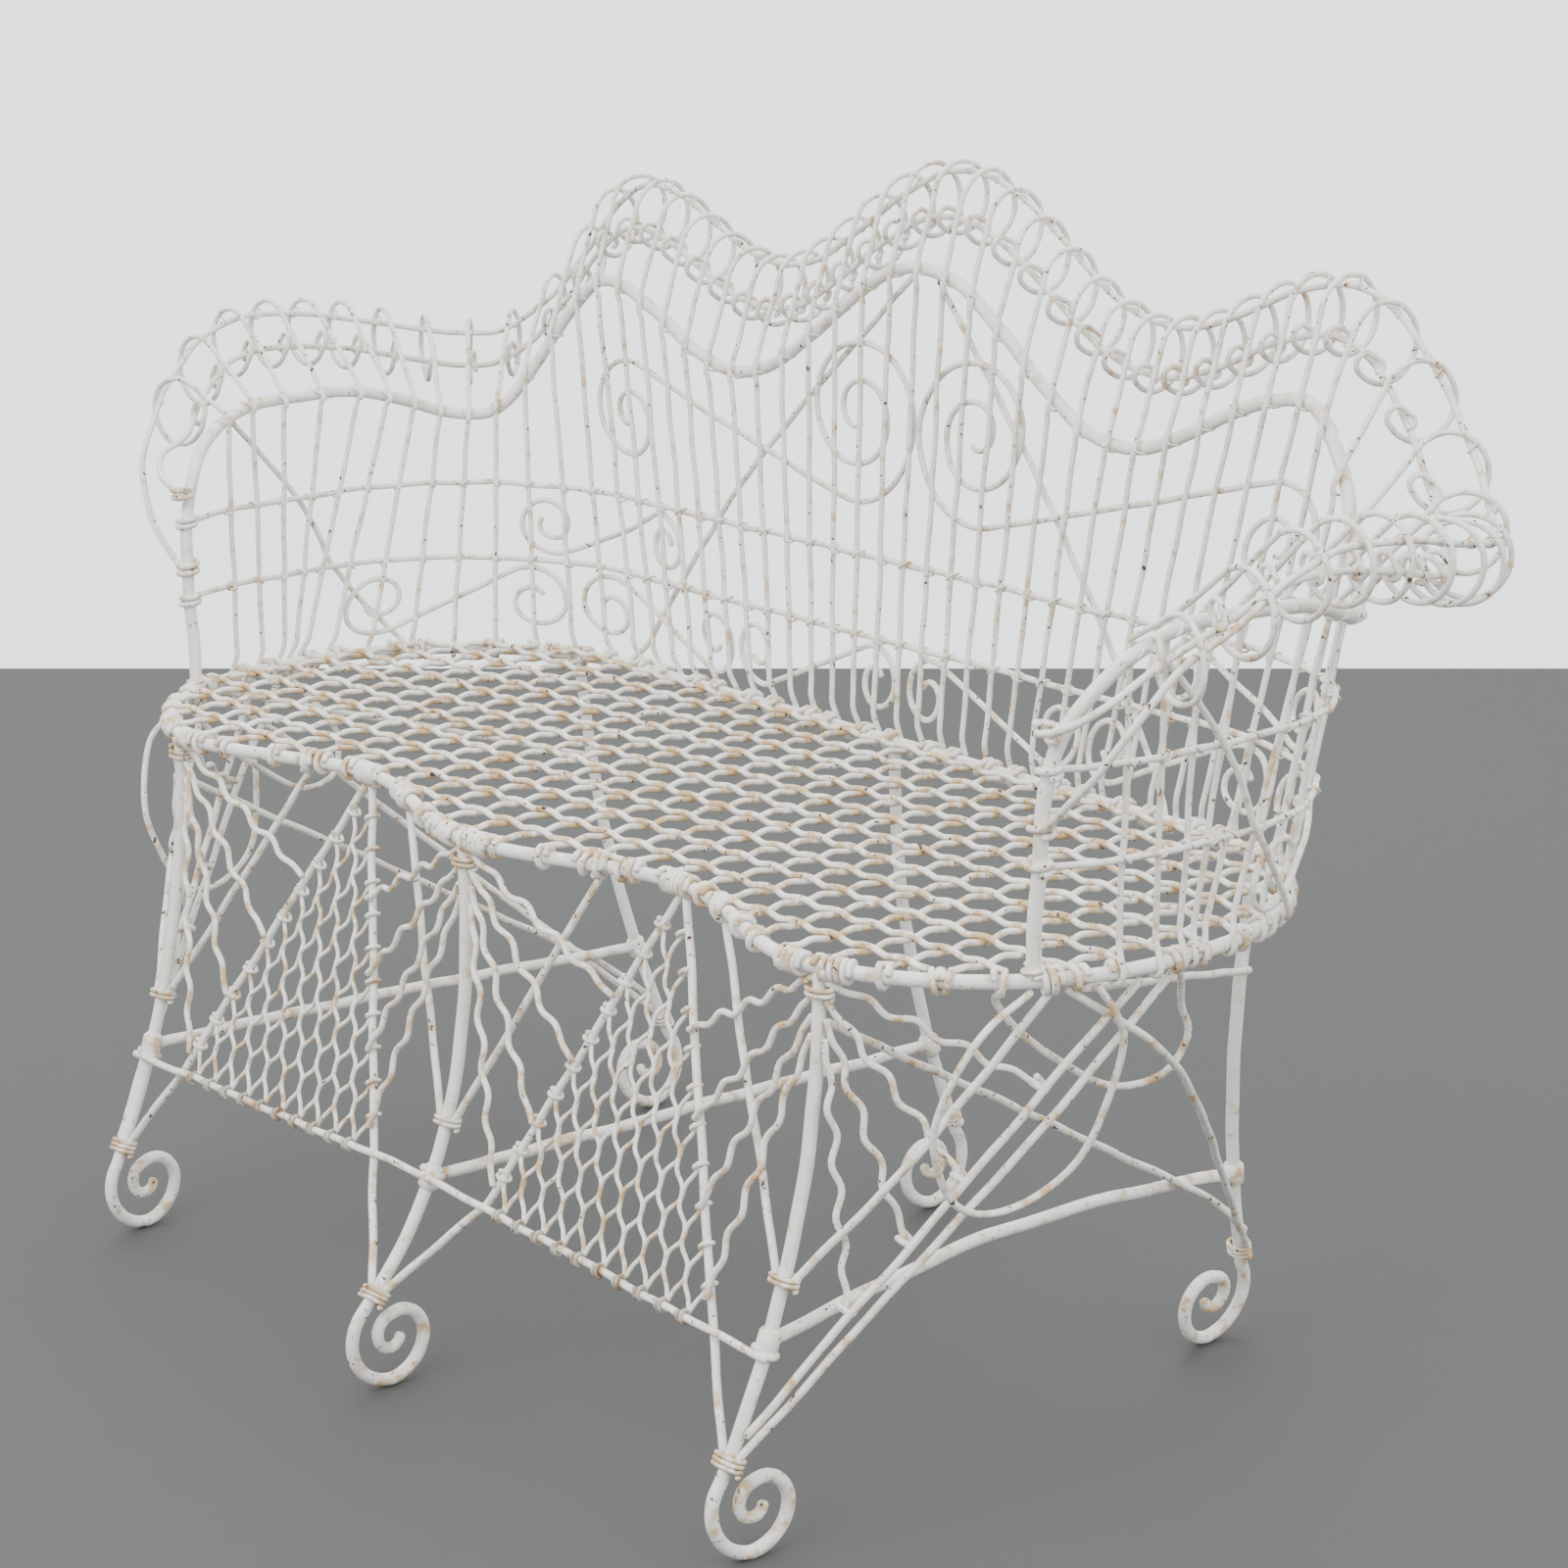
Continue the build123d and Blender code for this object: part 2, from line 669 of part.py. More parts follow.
for side, path_of in (("left", mirrored), ("right", list)):
    back_stay = stay(back_stay_feet[side] * spindle_pitch, spindle_pitch / 2)
    arm_stay = stay(*[k * spindle_pitch for k in arm_stay_spindles])
    save(f"{side}_back_stay", rod(path_of(back_stay), scroll_wire, light_sides))
    save(f"{side}_arm_stay", rod(path_of(arm_stay), scroll_wire, light_sides))


# Front apron: a lower rail across the legs, and two pointed panels of mesh that hang from the rim
front_legs = [leg_paths[f"front_{side}_leg"] for side in ("left", "middle", "right")]
rail_offset = equal_area_radius(frame_r, heavy_sides) + brace_wire / 2 + seating_gap
apron_heights = (apron_rail_height, apron_rail_height + apron_rail_rise, apron_rail_height)
apron_stops = [at_height(leg, z) for leg, z in zip(front_legs, apron_heights)]
apron_line = [(x, y - rail_offset, z) for x, y, z in apron_stops]


def apron_rail_at(x):
    k = abs(x) / apron_line[2][0]
    return (x, blend(apron_line[1][1], apron_line[2][1], k), blend(apron_line[1][2], apron_line[2][2], k))


rail_end = apron_rail_at(apron_line[2][0] + apron_rail_overhang)
save("front_lower_rail", rod(mirrored([rail_end]) + [apron_line[1]] + [rail_end], brace_wire, medium_sides))
behind_rail = (equal_area_radius(brace_wire, medium_sides) + apron_edge_wire) / 2 + 4 * seating_gap
apron_top = (scallop_x, scallop_y, rim_underside - apron_edge_wire / 2)


def apron_corner(x):
    cx, cy, cz = apron_rail_at(x)
    return (cx, cy + behind_rail, cz)


inner_corner, outer_corner = apron_corner(apron_foot_inner), apron_corner(apron_foot_outer)


def leg_side(leg, z, side, diameter):
    """A place beside a leg where a wire of that diameter lies against it."""
    x, y, height = at_height(leg, z)
    return (x + side * (equal_area_radius(frame_r, heavy_sides) + diameter / 2 + seating_gap), y, height)


def leg_back(leg, z, diameter):
    """A place behind a leg where a wire of that diameter lies against it."""
    x, y, height = at_height(leg, z)
    return (x, y + equal_area_radius(frame_r, heavy_sides) + diameter / 2 + seating_gap, height)


inner_edge = [apron_top, inner_corner, leg_side(front_legs[1], apron_tie_height, 1, apron_edge_wire)]
outer_edge = [(apron_top[0] + apron_edge_wire, *apron_top[1:]), outer_corner,
              leg_side(front_legs[2], apron_tie_height, -1, apron_edge_wire)]
for side, path_of in (("left", mirrored), ("right", list)):
    save_group(f"{side}_apron_edges", [rod(path_of(edge), apron_edge_wire, medium_sides)
                                       for edge in (inner_edge, outer_edge)])


def apron_mesh(toward, other, layer):
    """Wires parallel to one edge of the panel, from the lower rail up to the other edge."""
    wires = []
    for k in range(1, apron_divisions):
        share = k / apron_divisions
        low = between(toward, other, share)
        high = between(apron_top, other, share)
        high = between(high, low, apron_edge_wire * mesh_end_share / math.dist(high, low))
        wires.append([(low[0], low[1] + layer, low[2]), (high[0], high[1] + layer, high[2])])
    return wires


mesh_step = apron_mesh_wire / 2
mesh_sets = {
    "rising": apron_mesh(inner_corner, outer_corner, -mesh_step),
    "falling": apron_mesh(outer_corner, inner_corner, mesh_step),
}
for side, path_of in (("left", mirrored), ("right", list)):
    for name, wires in mesh_sets.items():
        save_group(f"{side}_apron_{name}_mesh",
                   [rod(path_of(w), apron_mesh_wire, light_sides) for w in wires])


# Fans: wires that spread from the head of each front leg to the nearest edge of the panel
def fan(leg, side, top, corner):
    wires = []
    for k in range(fan_wires):
        head = leg_side(leg, rim_underside - fan_head_drop - fan_spacing * k, side, fan_wire)
        foot = between(top, corner, blend(fan_first_share, fan_last_share, k / (fan_wires - 1)))
        ahead = (apron_edge_wire + fan_wire) / 2 + seating_gap
        wires.append([head, (foot[0], foot[1] - ahead, foot[2])])
    return wires


middle_fan = fan(front_legs[1], 1, apron_top, inner_corner)
right_fan = fan(front_legs[2], -1, outer_edge[0], outer_corner)
save_group("middle_leg_fan", [rod(path_of(w), fan_wire, light_sides)
                              for w in middle_fan for path_of in (mirrored, list)])
save_group("left_leg_fan", [rod(mirrored(w), fan_wire, light_sides) for w in right_fan])
save_group("right_leg_fan", [rod(w, fan_wire, light_sides) for w in right_fan])


# Side panels: under each end of the seat a slanting plane of stays, hoops and a fan
def under_rim(station, diameter):
    """Underside of the rim at a station under the arm."""
    x, y, _ = wall(back_end + station, seat_height)[0]
    return (x, y, rim_underside - diameter / 2 - seating_gap)


rear_right, front_right = leg_paths["rear_right_leg"], leg_paths["front_right_leg"]
panel_foot = leg_side(front_right, apron_tie_height, 1, brace_wire)
panel_heel = under_rim(panel_heel_station, brace_wire)
panel_toe = under_rim(panel_toe_station, brace_wire)
panel_rise, panel_run = Vector(*panel_heel) - Vector(*panel_foot), Vector(*panel_toe) - Vector(*panel_foot)
panel_out = panel_rise.cross(panel_run).normalized()


def off_panel(point, out):
    return tuple(Vector(*point) + panel_out * out)


def on_panel(y, drop, out):
    """Point of the side panel at a depth and a drop below the seat, moved outward."""
    z = seat_height - drop
    _, foot_y, foot_z = panel_foot
    x = panel_foot[0] - (panel_out.Y * (y - foot_y) + panel_out.Z * (z - foot_z)) / panel_out.X
    return off_panel((x, y, z), out)


fan_stay = [leg_side(front_right, fan_stay_height, 1, brace_wire), under_rim(fan_stay_station, brace_wire)]
stretcher_side = equal_area_radius((stretcher_rod + brace_wire) / 2, medium_sides) + seating_gap
tie = stretcher_line(front_right, rear_right, stretcher_rise["right"])[stretcher_tie]
side_stays = [
    [panel_foot, off_panel(between(panel_foot, panel_heel, 0.7), brace_wire), panel_heel],
    fan_stay,
    [leg_side(rear_right, apron_tie_height, 1, brace_wire), on_panel(*rear_stay_bend),
     under_rim(rear_stay_station, brace_wire)],
    [leg_side(rear_right, short_stay_height, 1, brace_wire), under_rim(short_stay_station, brace_wire)],
    [leg_back(front_right, long_stay_height, brace_wire), tuple(tie + Vector(stretcher_side, 0, 0)),
     leg_side(rear_right, fan_stay_height, 1, brace_wire)],
]
drop_start, drop_end = [under_rim(station, brace_wire) for station in drop_hoop_stations]
wide_start, wide_end = [under_rim(station, brace_wire) for station in wide_hoop_stations]
drop_path = [drop_start] + [on_panel(y, drop, drop_hoop_layer) for y, drop in drop_hoop] + [drop_end]
wide_path = [wide_start] + [on_panel(y, drop, wide_hoop_layer) for y, drop in wide_hoop] + [wide_end]
side_fan = []
for k, share in enumerate(side_fan_shares):
    head = leg_side(front_right, rim_underside - fan_head_drop - fan_spacing * k, 1, fan_wire)
    side_fan.append([head, off_panel(between(*fan_stay, share), side_fan_layer)])
for side, path_of in (("left", mirrored), ("right", list)):
    save_group(f"{side}_side_stays", [rod(path_of(w), brace_wire, medium_sides) for w in side_stays])
    save_group(f"{side}_side_hoops", [rod(path_of(w), brace_wire, light_sides)
                                      for w in (drop_path, wide_path)])
    save_group(f"{side}_side_fan", [rod(path_of(w), fan_wire, light_sides) for w in side_fan])


# Braces: straight wires from the rim down to the front legs
def under_front(x, diameter):
    """Underside of the front rim at a place along the seat."""
    if x <= scallop_x:
        y = eased(front_middle_y, scallop_y, x / scallop_x)
    else:
        y = eased(scallop_y, corner_end_y, (x - scallop_x) / (corner_end_x - scallop_x))
    return (x, y, rim_underside - diameter / 2 - seating_gap)


toe_foot = leg_side(front_right, brace_leg_height, 1, brace_wire)
braces = [
    [under_front(brace_rim_inner, brace_wire), leg_side(front_legs[1], brace_leg_height, 1, brace_wire)],
    [under_front(brace_rim_outer, brace_wire), leg_side(front_right, brace_leg_height, -1, brace_wire)],
    [panel_toe, off_panel(between(panel_toe, toe_foot, 0.5), toe_brace_layer), toe_foot],
]
save_group("front_braces", [rod(path_of(w), brace_wire, medium_sides)
                            for w in braces for path_of in (mirrored, list)])


# Bindings: wire wound round each leg above its foot
def binding(leg, height):
    low = Vector(*at_height(leg, height))
    high = Vector(*at_height(leg, height + binding_pitch * binding_turns))
    axis = (high - low).normalized()
    side = axis.cross(Vector(1, 0, 0)).normalized()
    front = side.cross(axis).normalized()
    radius = equal_area_radius(frame_r, heavy_sides) + binding_wire / 2 + seating_gap
    steps = round(binding_turns * binding_steps)
    path = []
    for step in range(steps + 1):
        turn = 2 * math.pi * binding_turns * step / steps
        rise = binding_pitch * binding_turns * step / steps
        spoke = side * (radius * math.cos(turn)) + front * (radius * math.sin(turn))
        path.append(tuple(low + axis * rise + spoke))
    return path


print("least gap between turns of a binding:", round(binding_pitch - binding_wire, 2), "mm")
ankle_wire = [binding(leg, ankle_height + binding_wire) for leg in leg_paths.values()]
brace_binding = [binding(leg, brace_leg_height - brace_binding_drop) for leg in front_legs]
save_group("leg_bindings", [rod(path, binding_wire, light_sides) for path in ankle_wire + brace_binding])
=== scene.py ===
"""Looks of the wirework garden settee: every rod and wire drawn round, crimped, bound and painted."""

import math

import bpy
import numpy as np
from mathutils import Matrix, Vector


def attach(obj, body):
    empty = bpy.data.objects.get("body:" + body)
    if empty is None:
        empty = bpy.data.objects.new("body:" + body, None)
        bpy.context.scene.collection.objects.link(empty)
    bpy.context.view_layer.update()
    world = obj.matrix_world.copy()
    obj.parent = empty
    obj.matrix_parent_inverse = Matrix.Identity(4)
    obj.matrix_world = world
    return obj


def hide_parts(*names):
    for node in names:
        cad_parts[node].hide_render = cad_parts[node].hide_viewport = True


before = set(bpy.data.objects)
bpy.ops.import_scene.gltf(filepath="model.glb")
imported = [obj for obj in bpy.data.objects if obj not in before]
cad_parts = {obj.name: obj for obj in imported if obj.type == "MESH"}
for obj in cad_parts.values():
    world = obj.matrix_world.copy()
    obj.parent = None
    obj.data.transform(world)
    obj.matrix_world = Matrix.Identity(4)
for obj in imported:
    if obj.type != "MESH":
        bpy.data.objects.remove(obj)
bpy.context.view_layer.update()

# Wire and rod diameters, in millimetres like all lengths until a mesh is made
MM = 0.001
FRAME_ROD = 10.6
LEG_ROD = 10.2
STRETCHER_ROD = 9.6
SPINDLE_WIRE = 4.6
RAIL_WIRE = 5.0
SCROLL_WIRE = 5.0
ROLL_WIRE = 5.4
LATTICE_WIRE = 5.0
APRON_EDGE_WIRE = 6.4
APRON_MESH_WIRE = 3.5
FAN_WIRE = 5.0
BRACE_WIRE = 6.0
HOOP_WIRE = BRACE_WIRE * 0.9
BINDING_WIRE = 3.4
RIM_WINDING_WIRE = 4.6
POST_WINDING_WIRE = 3.6
MESH_HOOK_WIRE = APRON_MESH_WIRE * 0.9
TIE_WIRE = 1.9
FRAME_R = FRAME_ROD / 2
LEG_R = LEG_ROD / 2

# Ends of a tube in radii, and the unevenness of wire bent by hand
END_BULGE, END_TAPER = 0.45, 0.6
WANDER_WAVES = (70.0, 130.0, 240.0)
WANDER_FADE = 30.0

# Dirt and rust from 0 to 1, where it varies along a wire
SEAT_STAIN, CROSSING_STAIN = 0.35, 0.65
LEG_STAIN_HEIGHT, LEG_STAIN_RANGE = 130.0, (0.15, 0.8)
FOOT_STAIN, FOOT_STAIN_STEPS = 1.0, 12
SPINDLE_STAIN, RING_END_STAIN, RING_END_STEPS = 0.25, 0.5, 8

# Wire wound round rim, legs and other wires
SCALLOP_WINDING, RIM_LEG_WINDING = (5.5, 5.2), (4.0, 5.0)  # turns, pitch
RIM_LEG_WINDING_SHIFT = 19.0
RIM_WINDING_LAYER = 2.2
POST_WINDING_RISE = 2.0
ANKLE_BINDING_RISE, ANKLE_HEADING_RISE = 14.0, 16.0
FAN_BINDING_DROP = 12.0
WIRE_END_PITCH = 1.15

# Seat rim in plan
SEAT_HEIGHT = 430.0
SEAT_HALF_LENGTH = 560.0
SEAT_BACK = 232.2
REAR_CORNER_RADIUS = 215.0
FRONT_CORNER_RADIUS = 205.0
FRONT_CORNER_Y = -12.8
FRONT_CORNER_TURN = 78.0
FRONT_LEG_TURN = 73.5
SCALLOP_X = 200.0
SCALLOP_Y = -159.8
FRONT_MIDDLE_Y = -211.8
WALL_STEPS, CORNER_STEPS, SCALLOP_STEPS = 150, 60, 40
RIM_TOP = SEAT_HEIGHT + FRAME_R
RIM_UNDERSIDE = SEAT_HEIGHT - FRAME_R

# Wall of the back and arms
WALL_RISE = 150.0
WALL_HALF_GROWTH = 8.0
WALL_GROWTH_LIMIT = 1.4
WALL_BACK_LEAN = 11.0
WALL_CORNER_TIGHTENING = 45.0
WALL_CORNER_LEAST = 150.0
POST_STATION = 863.0
POST_SINK = 4.0
CREST_CROWNS = [(0.0, 825.0), (222.0, 712.0), (395.0, 771.0), (545.0, 641.0), (705.0, 671.0)]
ARM_BEND_RADIUS = 118.0
ARM_BEND_STEP = 5.0
UPPER_RAIL_HEIGHT = 580.0
LOWER_RAIL_HEIGHT = 512.0
SPINDLES_EACH_SIDE = 26
LAST_SPINDLE_STATION = 800.0
SPINDLE_CLEARANCE = 0.8
SPINDLE_INSET = (FRAME_ROD + SPINDLE_WIRE) / 2 + SPINDLE_CLEARANCE
SPINDLE_PITCH = LAST_SPINDLE_STATION / SPINDLES_EACH_SIDE
SPINDLE_STATIONS = [SPINDLE_PITCH * k for k in range(-SPINDLES_EACH_SIDE, SPINDLES_EACH_SIDE + 1)]
RIM_HOOK_TURNS = (-170, -130, -90, -45, 0, 35)
SHANK_START = 14.0
TANGENT_STEP, ROLL_TANGENT_STEP = 2.0, 3.0

# Rolled edge
RING_RADIUS = 30.0
RING_BOTTOM_TURN = 12.0
RING_RETURN = ((-13.5, -28.0), (-18.0, -21.5), (-14.0, -14.0))
RING_RETURN_DRIFT, RING_HOOK_DRIFT = 0.3, 0.08
RING_HOOK_TURNS = (105.0, 60.0, 15.0, -30.0, -75.0)
RING_OVERHANG = 10.0
RING_FLATTENING = 1.6
UNDER_RING = RING_RADIUS - RING_FLATTENING - (SPINDLE_WIRE + ROLL_WIRE) / 2
ROLL_REACH_BACK = 98.0
ROLL_LEVELLING = 0.12
ROLL_LEVEL_HEIGHT = 760.0
ROLL_REACH_ARM = 111.0
ROLL_REACH_END = 62.0
ROLL_LEAN_BACK = 27.0
ROLL_LEAN_ARM = 52.0
ROLL_LEAN_END = 80.0
ROLL_CORNER_SHARE = 0.55
ROLL_END_SHARE = 1.2
ROLL_STATIONS = np.linspace(0.0, 834.0, 150)[::5]
ROLL_INNER_DROP = 18.0
ROLL_FRONT_BULGE = 14.0
ROLL_FRONT_SHARES = (0.35, 0.7, 1.0)
OUTER_WIRE_END_HEIGHT = 540.0
INNER_WIRE_END_HEIGHT = 607.0

# Scrolls: hand, then station, height, outer radius, inner radius and turns of both spirals
SCROLLS = {
    "outer_frieze_scrolls": (1, (615, 475, 30, 9, 1.3), (492, 475, 31, 9, 1.2)),
    "middle_frieze_scrolls": (-1, (426, 475, 31, 9, 1.2), (273, 475, 31, 9, 1.2)),
    "inner_frieze_scrolls": (1, (207, 475, 31, 9, 1.2), (36, 475, 31, 9, 1.2)),
    "rail_scrolls": (1, (477, 546, 28, 8, 1.4), (341, 546, 28, 9, 1.3)),
    "crest_scrolls": (-1, (405, 661, 50, 8, 1.5), (74, 698, 76, 9, 2.1)),
}
LEFT_CREST_SCROLL = (-1, (377, 655, 50, 8, 1.5), (68, 698, 76, 9, 2.1))
BACK_STAY_FEET = {"left": 13.5, "right": 11.5}
ARM_STAY_SPINDLES = (19.0, 25.5)
STAY_FOOT_SHARE = 0.03

# Layers outward from the middle of the spindles, and from the middle of the rim
RAIL_LAYER = (SPINDLE_WIRE + RAIL_WIRE) / 2
SCROLL_LAYER = RAIL_LAYER + 0.3
STAY_LAYER = RAIL_LAYER + RAIL_WIRE / 2 + SCROLL_WIRE / 2 + 0.8
STAY_FOOT_LAYER = FRAME_R + SCROLL_WIRE / 2 + 0.3

# Seat weave
LATTICE_PITCH = 38.0
LATTICE_ROWS = 15
LATTICE_STEPS = 9
LATTICE_LEAST_RUN = 1.5 * LATTICE_PITCH
LATTICE_END_GAP = 14.0
LATTICE_LEVEL = SEAT_HEIGHT + FRAME_R * 0.75 + LATTICE_WIRE / 2
LATTICE_LIFT, LATTICE_CRIMP, LATTICE_SWAY = 0.7, 1.4, 1.2
HITCH_TURNS, HITCH_DRIFT = np.radians((125, -330)), 9.5

# Legs and stretchers
FOOT_SCROLL_RADIUS = 37.0
FOOT_SCROLL_TURNS = (0.0, 128.0, 218.0, 308.0, 398.0, 488.0, 560.0)
FOOT_SCROLL_RADII = (37.0, 37.0, 29.5, 17.5, 13.5, 10.5, 8.0)
FOOT_TURN_STEP = 16.0
FOOT_TAPER, FOOT_TAPER_STEPS = 0.82, 14
ANKLE_TURN = 38.0
LEG_HEADING_REACH = 8.0
FRONT_LEG_SPLAY = -5.0
REAR_LEG_STATION = 420.0
REAR_LEG_INSET = 11.0
STRETCHER_FRONT_HEIGHT = 163.0
STRETCHER_REAR_HEIGHT = 152.0
STRETCHER_RISE = {"left": 3.0, "middle": 0.0, "right": 20.0}
STRETCHER_END_GAP = 1.0
STRETCHER_STEPS = 64
COLLAR_WALL = 3.2
COLLAR_HEIGHT = 16.0
COLLAR_PROFILE = ((-0.5, 1.0), (-0.42, 0.0), (0.0, 0.0), (0.42, 0.0), (0.5, 1.0))

# Apron, fans and braces
APRON_RAIL_HEIGHT = 155.0
APRON_RAIL_RISE = 11.0
APRON_RAIL_OVERHANG = 9.0
APRON_FOOT_INNER = 76.0
APRON_FOOT_OUTER = 352.0
APRON_CORNER_GAP = 0.4
APRON_DIVISIONS = 11
APRON_TIE_HEIGHT = 84.0
MESH_WAVE, MESH_CRIMP, MESH_FLAT_SHARE = 1.12, 1.7, 2.0
MESH_RAIL_RISE = 1.0
FAN_SPACING = 14.0
FAN_HEAD_DROP = 4.0
FAN_SHARES = (0.32, 0.527, 0.733, 0.94)
FAN_WAVE, FAN_WAVE_HEIGHT = 39.0, 3.2
BRACE_LEG_HEIGHT = 205.0
BRACE_RIM_INNER = 125.0
BRACE_RIM_OUTER = 268.0

# Side panels: stations on the rim, heights on the legs, and the hoops
PANEL_HEEL_STATION = 750.0
PANEL_TOE_STATION = 850.0
FAN_STAY_STATION = 781.0
REAR_STAY_STATION = 838.0
SHORT_STAY_STATION = 826.0
FAN_STAY_HEIGHT = 100.0
SHORT_STAY_HEIGHT = 335.0
LONG_STAY_HEIGHT = 388.0
STRETCHER_TIE_SHARE = 0.875
HEEL_BEND_SHARE = 0.7
SIDE_FAN_SHARES = (0.76, 0.56, 0.42, 0.27)
SIDE_FAN_LAYER = -7.0
TOE_BRACE_LAYER = 8.5
REAR_STAY_BEND = (20.0, 330.0, -11.0)
HOOPS = (  # layer, stations of both ends, depth and height of the points between
    (12.0, (864.0, 815.0), [(-166, 399), (-186, 342), (-176, 300), (-156, 270), (-128, 258),
                            (-94, 266), (-66, 288), (-53, 330), (-49, 376), (-58, 400)]),
    (-20.0, (884.0, 732.0), [(-137, 408), (-114, 381), (-74, 350), (-28, 323), (13, 325), (26, 354), (16, 379)]),
)

# Old paint
RUST_COLOUR, RUST_BY_STAIN, RUST_STRENGTH = (0.54, 0.32, 0.10), 0.16, 0.8
IRON_COLOUR, CHIP_BY_STAIN = (0.075, 0.042, 0.026), 0.06
PAINT_ROUGHNESS, WORN_ROUGHNESS, GLOSS_SPREAD = 0.42, 0.42, 0.14
BRUSH_SHARE, RELIEF_DEPTH = 1.5, 0.0012

# Stage, in metres: the camera as solved from the photograph, the floor's edge at its horizon
CAMERA_AZIMUTH = 49.58
CAMERA_ELEVATION = 15.53
CAMERA_PLACE = (2.3038, -1.8518, 1.2564)
SENSOR_WIDTH = 36.0
FOCAL_PIXELS = 3908.0
IMAGE_SIDE = 1600
HORIZON_PIXEL = 682.0
STAGE_ROUGHNESS, STAGE_SPECULAR = 0.7, 0.12
FLOOR_COLOUR = (0.083, 0.084, 0.082)
FLOOR_HALF_WIDTH, FLOOR_DEPTH = 9.0, 14.0
WALL_COLOUR = (0.90, 0.915, 0.92)
WALL_GLOW = 1.0
WALL_DISTANCE = 8.6
WALL_HALF_WIDTH, WALL_FOOT, WALL_TOP = 36.0, -5.0, 28.0
SKY_COLOUR, SKY_STRENGTH = (0.95, 0.97, 1.0), 1.45
LIGHT_AIM = (0.0, 0.0, 0.4)
LIGHTS = (  # name, place, size, power
    ("key", (0.6, -3.2, 3.4), 3.2, 190.0),
    ("fill", (3.4, 0.6, 2.2), 2.6, 60.0),
    ("rim", (-1.6, 1.3, 3.3), 3.0, 60.0),
)

UP = np.array((0.0, 0.0, 1.0))
FORWARD = np.array((0.0, -1.0, 0.0))
RIGHT = np.array((1.0, 0.0, 0.0))
SIDES = ("left", "right")


# Curves
def blend(a, b, k):
    return a + (b - a) * k


def eased(a, b, k):
    return blend(a, b, (1 - math.cos(math.pi * min(max(k, 0.0), 1.0))) / 2)


def mirrored(path):
    return np.asarray(path, float) * (-1.0, 1.0, 1.0)


def on_side(side, path):
    """What is drawn for the right side, brought to either side."""
    return mirrored(path) if side == "left" else np.asarray(path, float)


def sides_of(path):
    return [(side, on_side(side, path)) for side in SIDES]


def unit(vector):
    vector = np.asarray(vector, float)
    return vector / np.linalg.norm(vector)


def run_lengths(path):
    """Length along the path up to each of its points."""
    return np.concatenate([[0.0], np.cumsum(np.linalg.norm(np.diff(path, axis=0), axis=1))])


def resample(points, spacing):
    """The same path in short even steps."""
    points = np.asarray(points, float)
    length = run_lengths(points)
    steps = np.linspace(0.0, length[-1], max(2, int(round(length[-1] / spacing)) + 1))
    return np.stack([np.interp(steps, length, points[:, k]) for k in range(3)], axis=1)


def smooth(points, spacing):
    """A smooth curve through the points, in short even steps."""
    points = np.asarray(points, float)
    padded = np.vstack([2 * points[0] - points[1], points, 2 * points[-1] - points[-2]])
    share = np.linspace(0.0, 1.0, 12, endpoint=False)[:, None]
    curve = []
    for a, b, c, d in zip(padded[:-3], padded[1:-2], padded[2:-1], padded[3:]):
        curve.append(0.5 * (2 * b + (c - a) * share + (2 * a - 5 * b + 4 * c - d) * share ** 2
                            + (3 * b - 3 * c + d - a) * share ** 3))
    return resample(np.vstack(curve + [points[-1:]]), spacing)


def wandering(path, amount, seed):
    """The path with the slight unevenness of wire bent by hand."""
    path = np.asarray(path, float)
    random = np.random.default_rng(seed)
    length = run_lengths(path)
    drift = np.zeros_like(path)
    for wave in WANDER_WAVES:
        phase = random.uniform(0, 6.28, 3)
        drift += np.sin(length[:, None] / wave * 2 * math.pi + phase) * random.uniform(0.3, 1, 3)
    fade = np.minimum(1.0, np.minimum(length, length[-1] - length) / WANDER_FADE)[:, None]
    return path + drift * fade * amount / 2


def crimped(start, end, wave, height, side, spacing):
    """A straight run pressed into even waves, level at both ends."""
    run = resample([start, end], spacing)
    length = np.linalg.norm(run - run[0], axis=1)
    fade = np.minimum(1.0, np.minimum(length, length[-1] - length) / wave)
    return run + np.outer(np.sin(length / wave * 2 * math.pi) * height * fade, unit(side))


def helix(middle, axis, first, radius, turns, pitch, flatten=1.0, steps=14):
    """Turns of wire round an axis, starting in a given direction; flatten narrows the second direction."""
    axis = unit(axis)
    first = np.asarray(first, float)
    first = unit(first - axis * (first @ axis))
    second = np.cross(axis, first) * flatten
    angle = np.linspace(0.0, 2 * math.pi * turns, max(4, int(turns * steps)) + 1)[:, None]
    rise = (angle / (2 * math.pi) - turns / 2) * pitch
    return np.asarray(middle, float) + axis * rise + (first * np.cos(angle) + second * np.sin(angle)) * radius


def placed(name, data):
    """A new object in the scene."""
    thing = bpy.data.objects.new(name, data)
    bpy.context.scene.collection.objects.link(thing)
    return thing


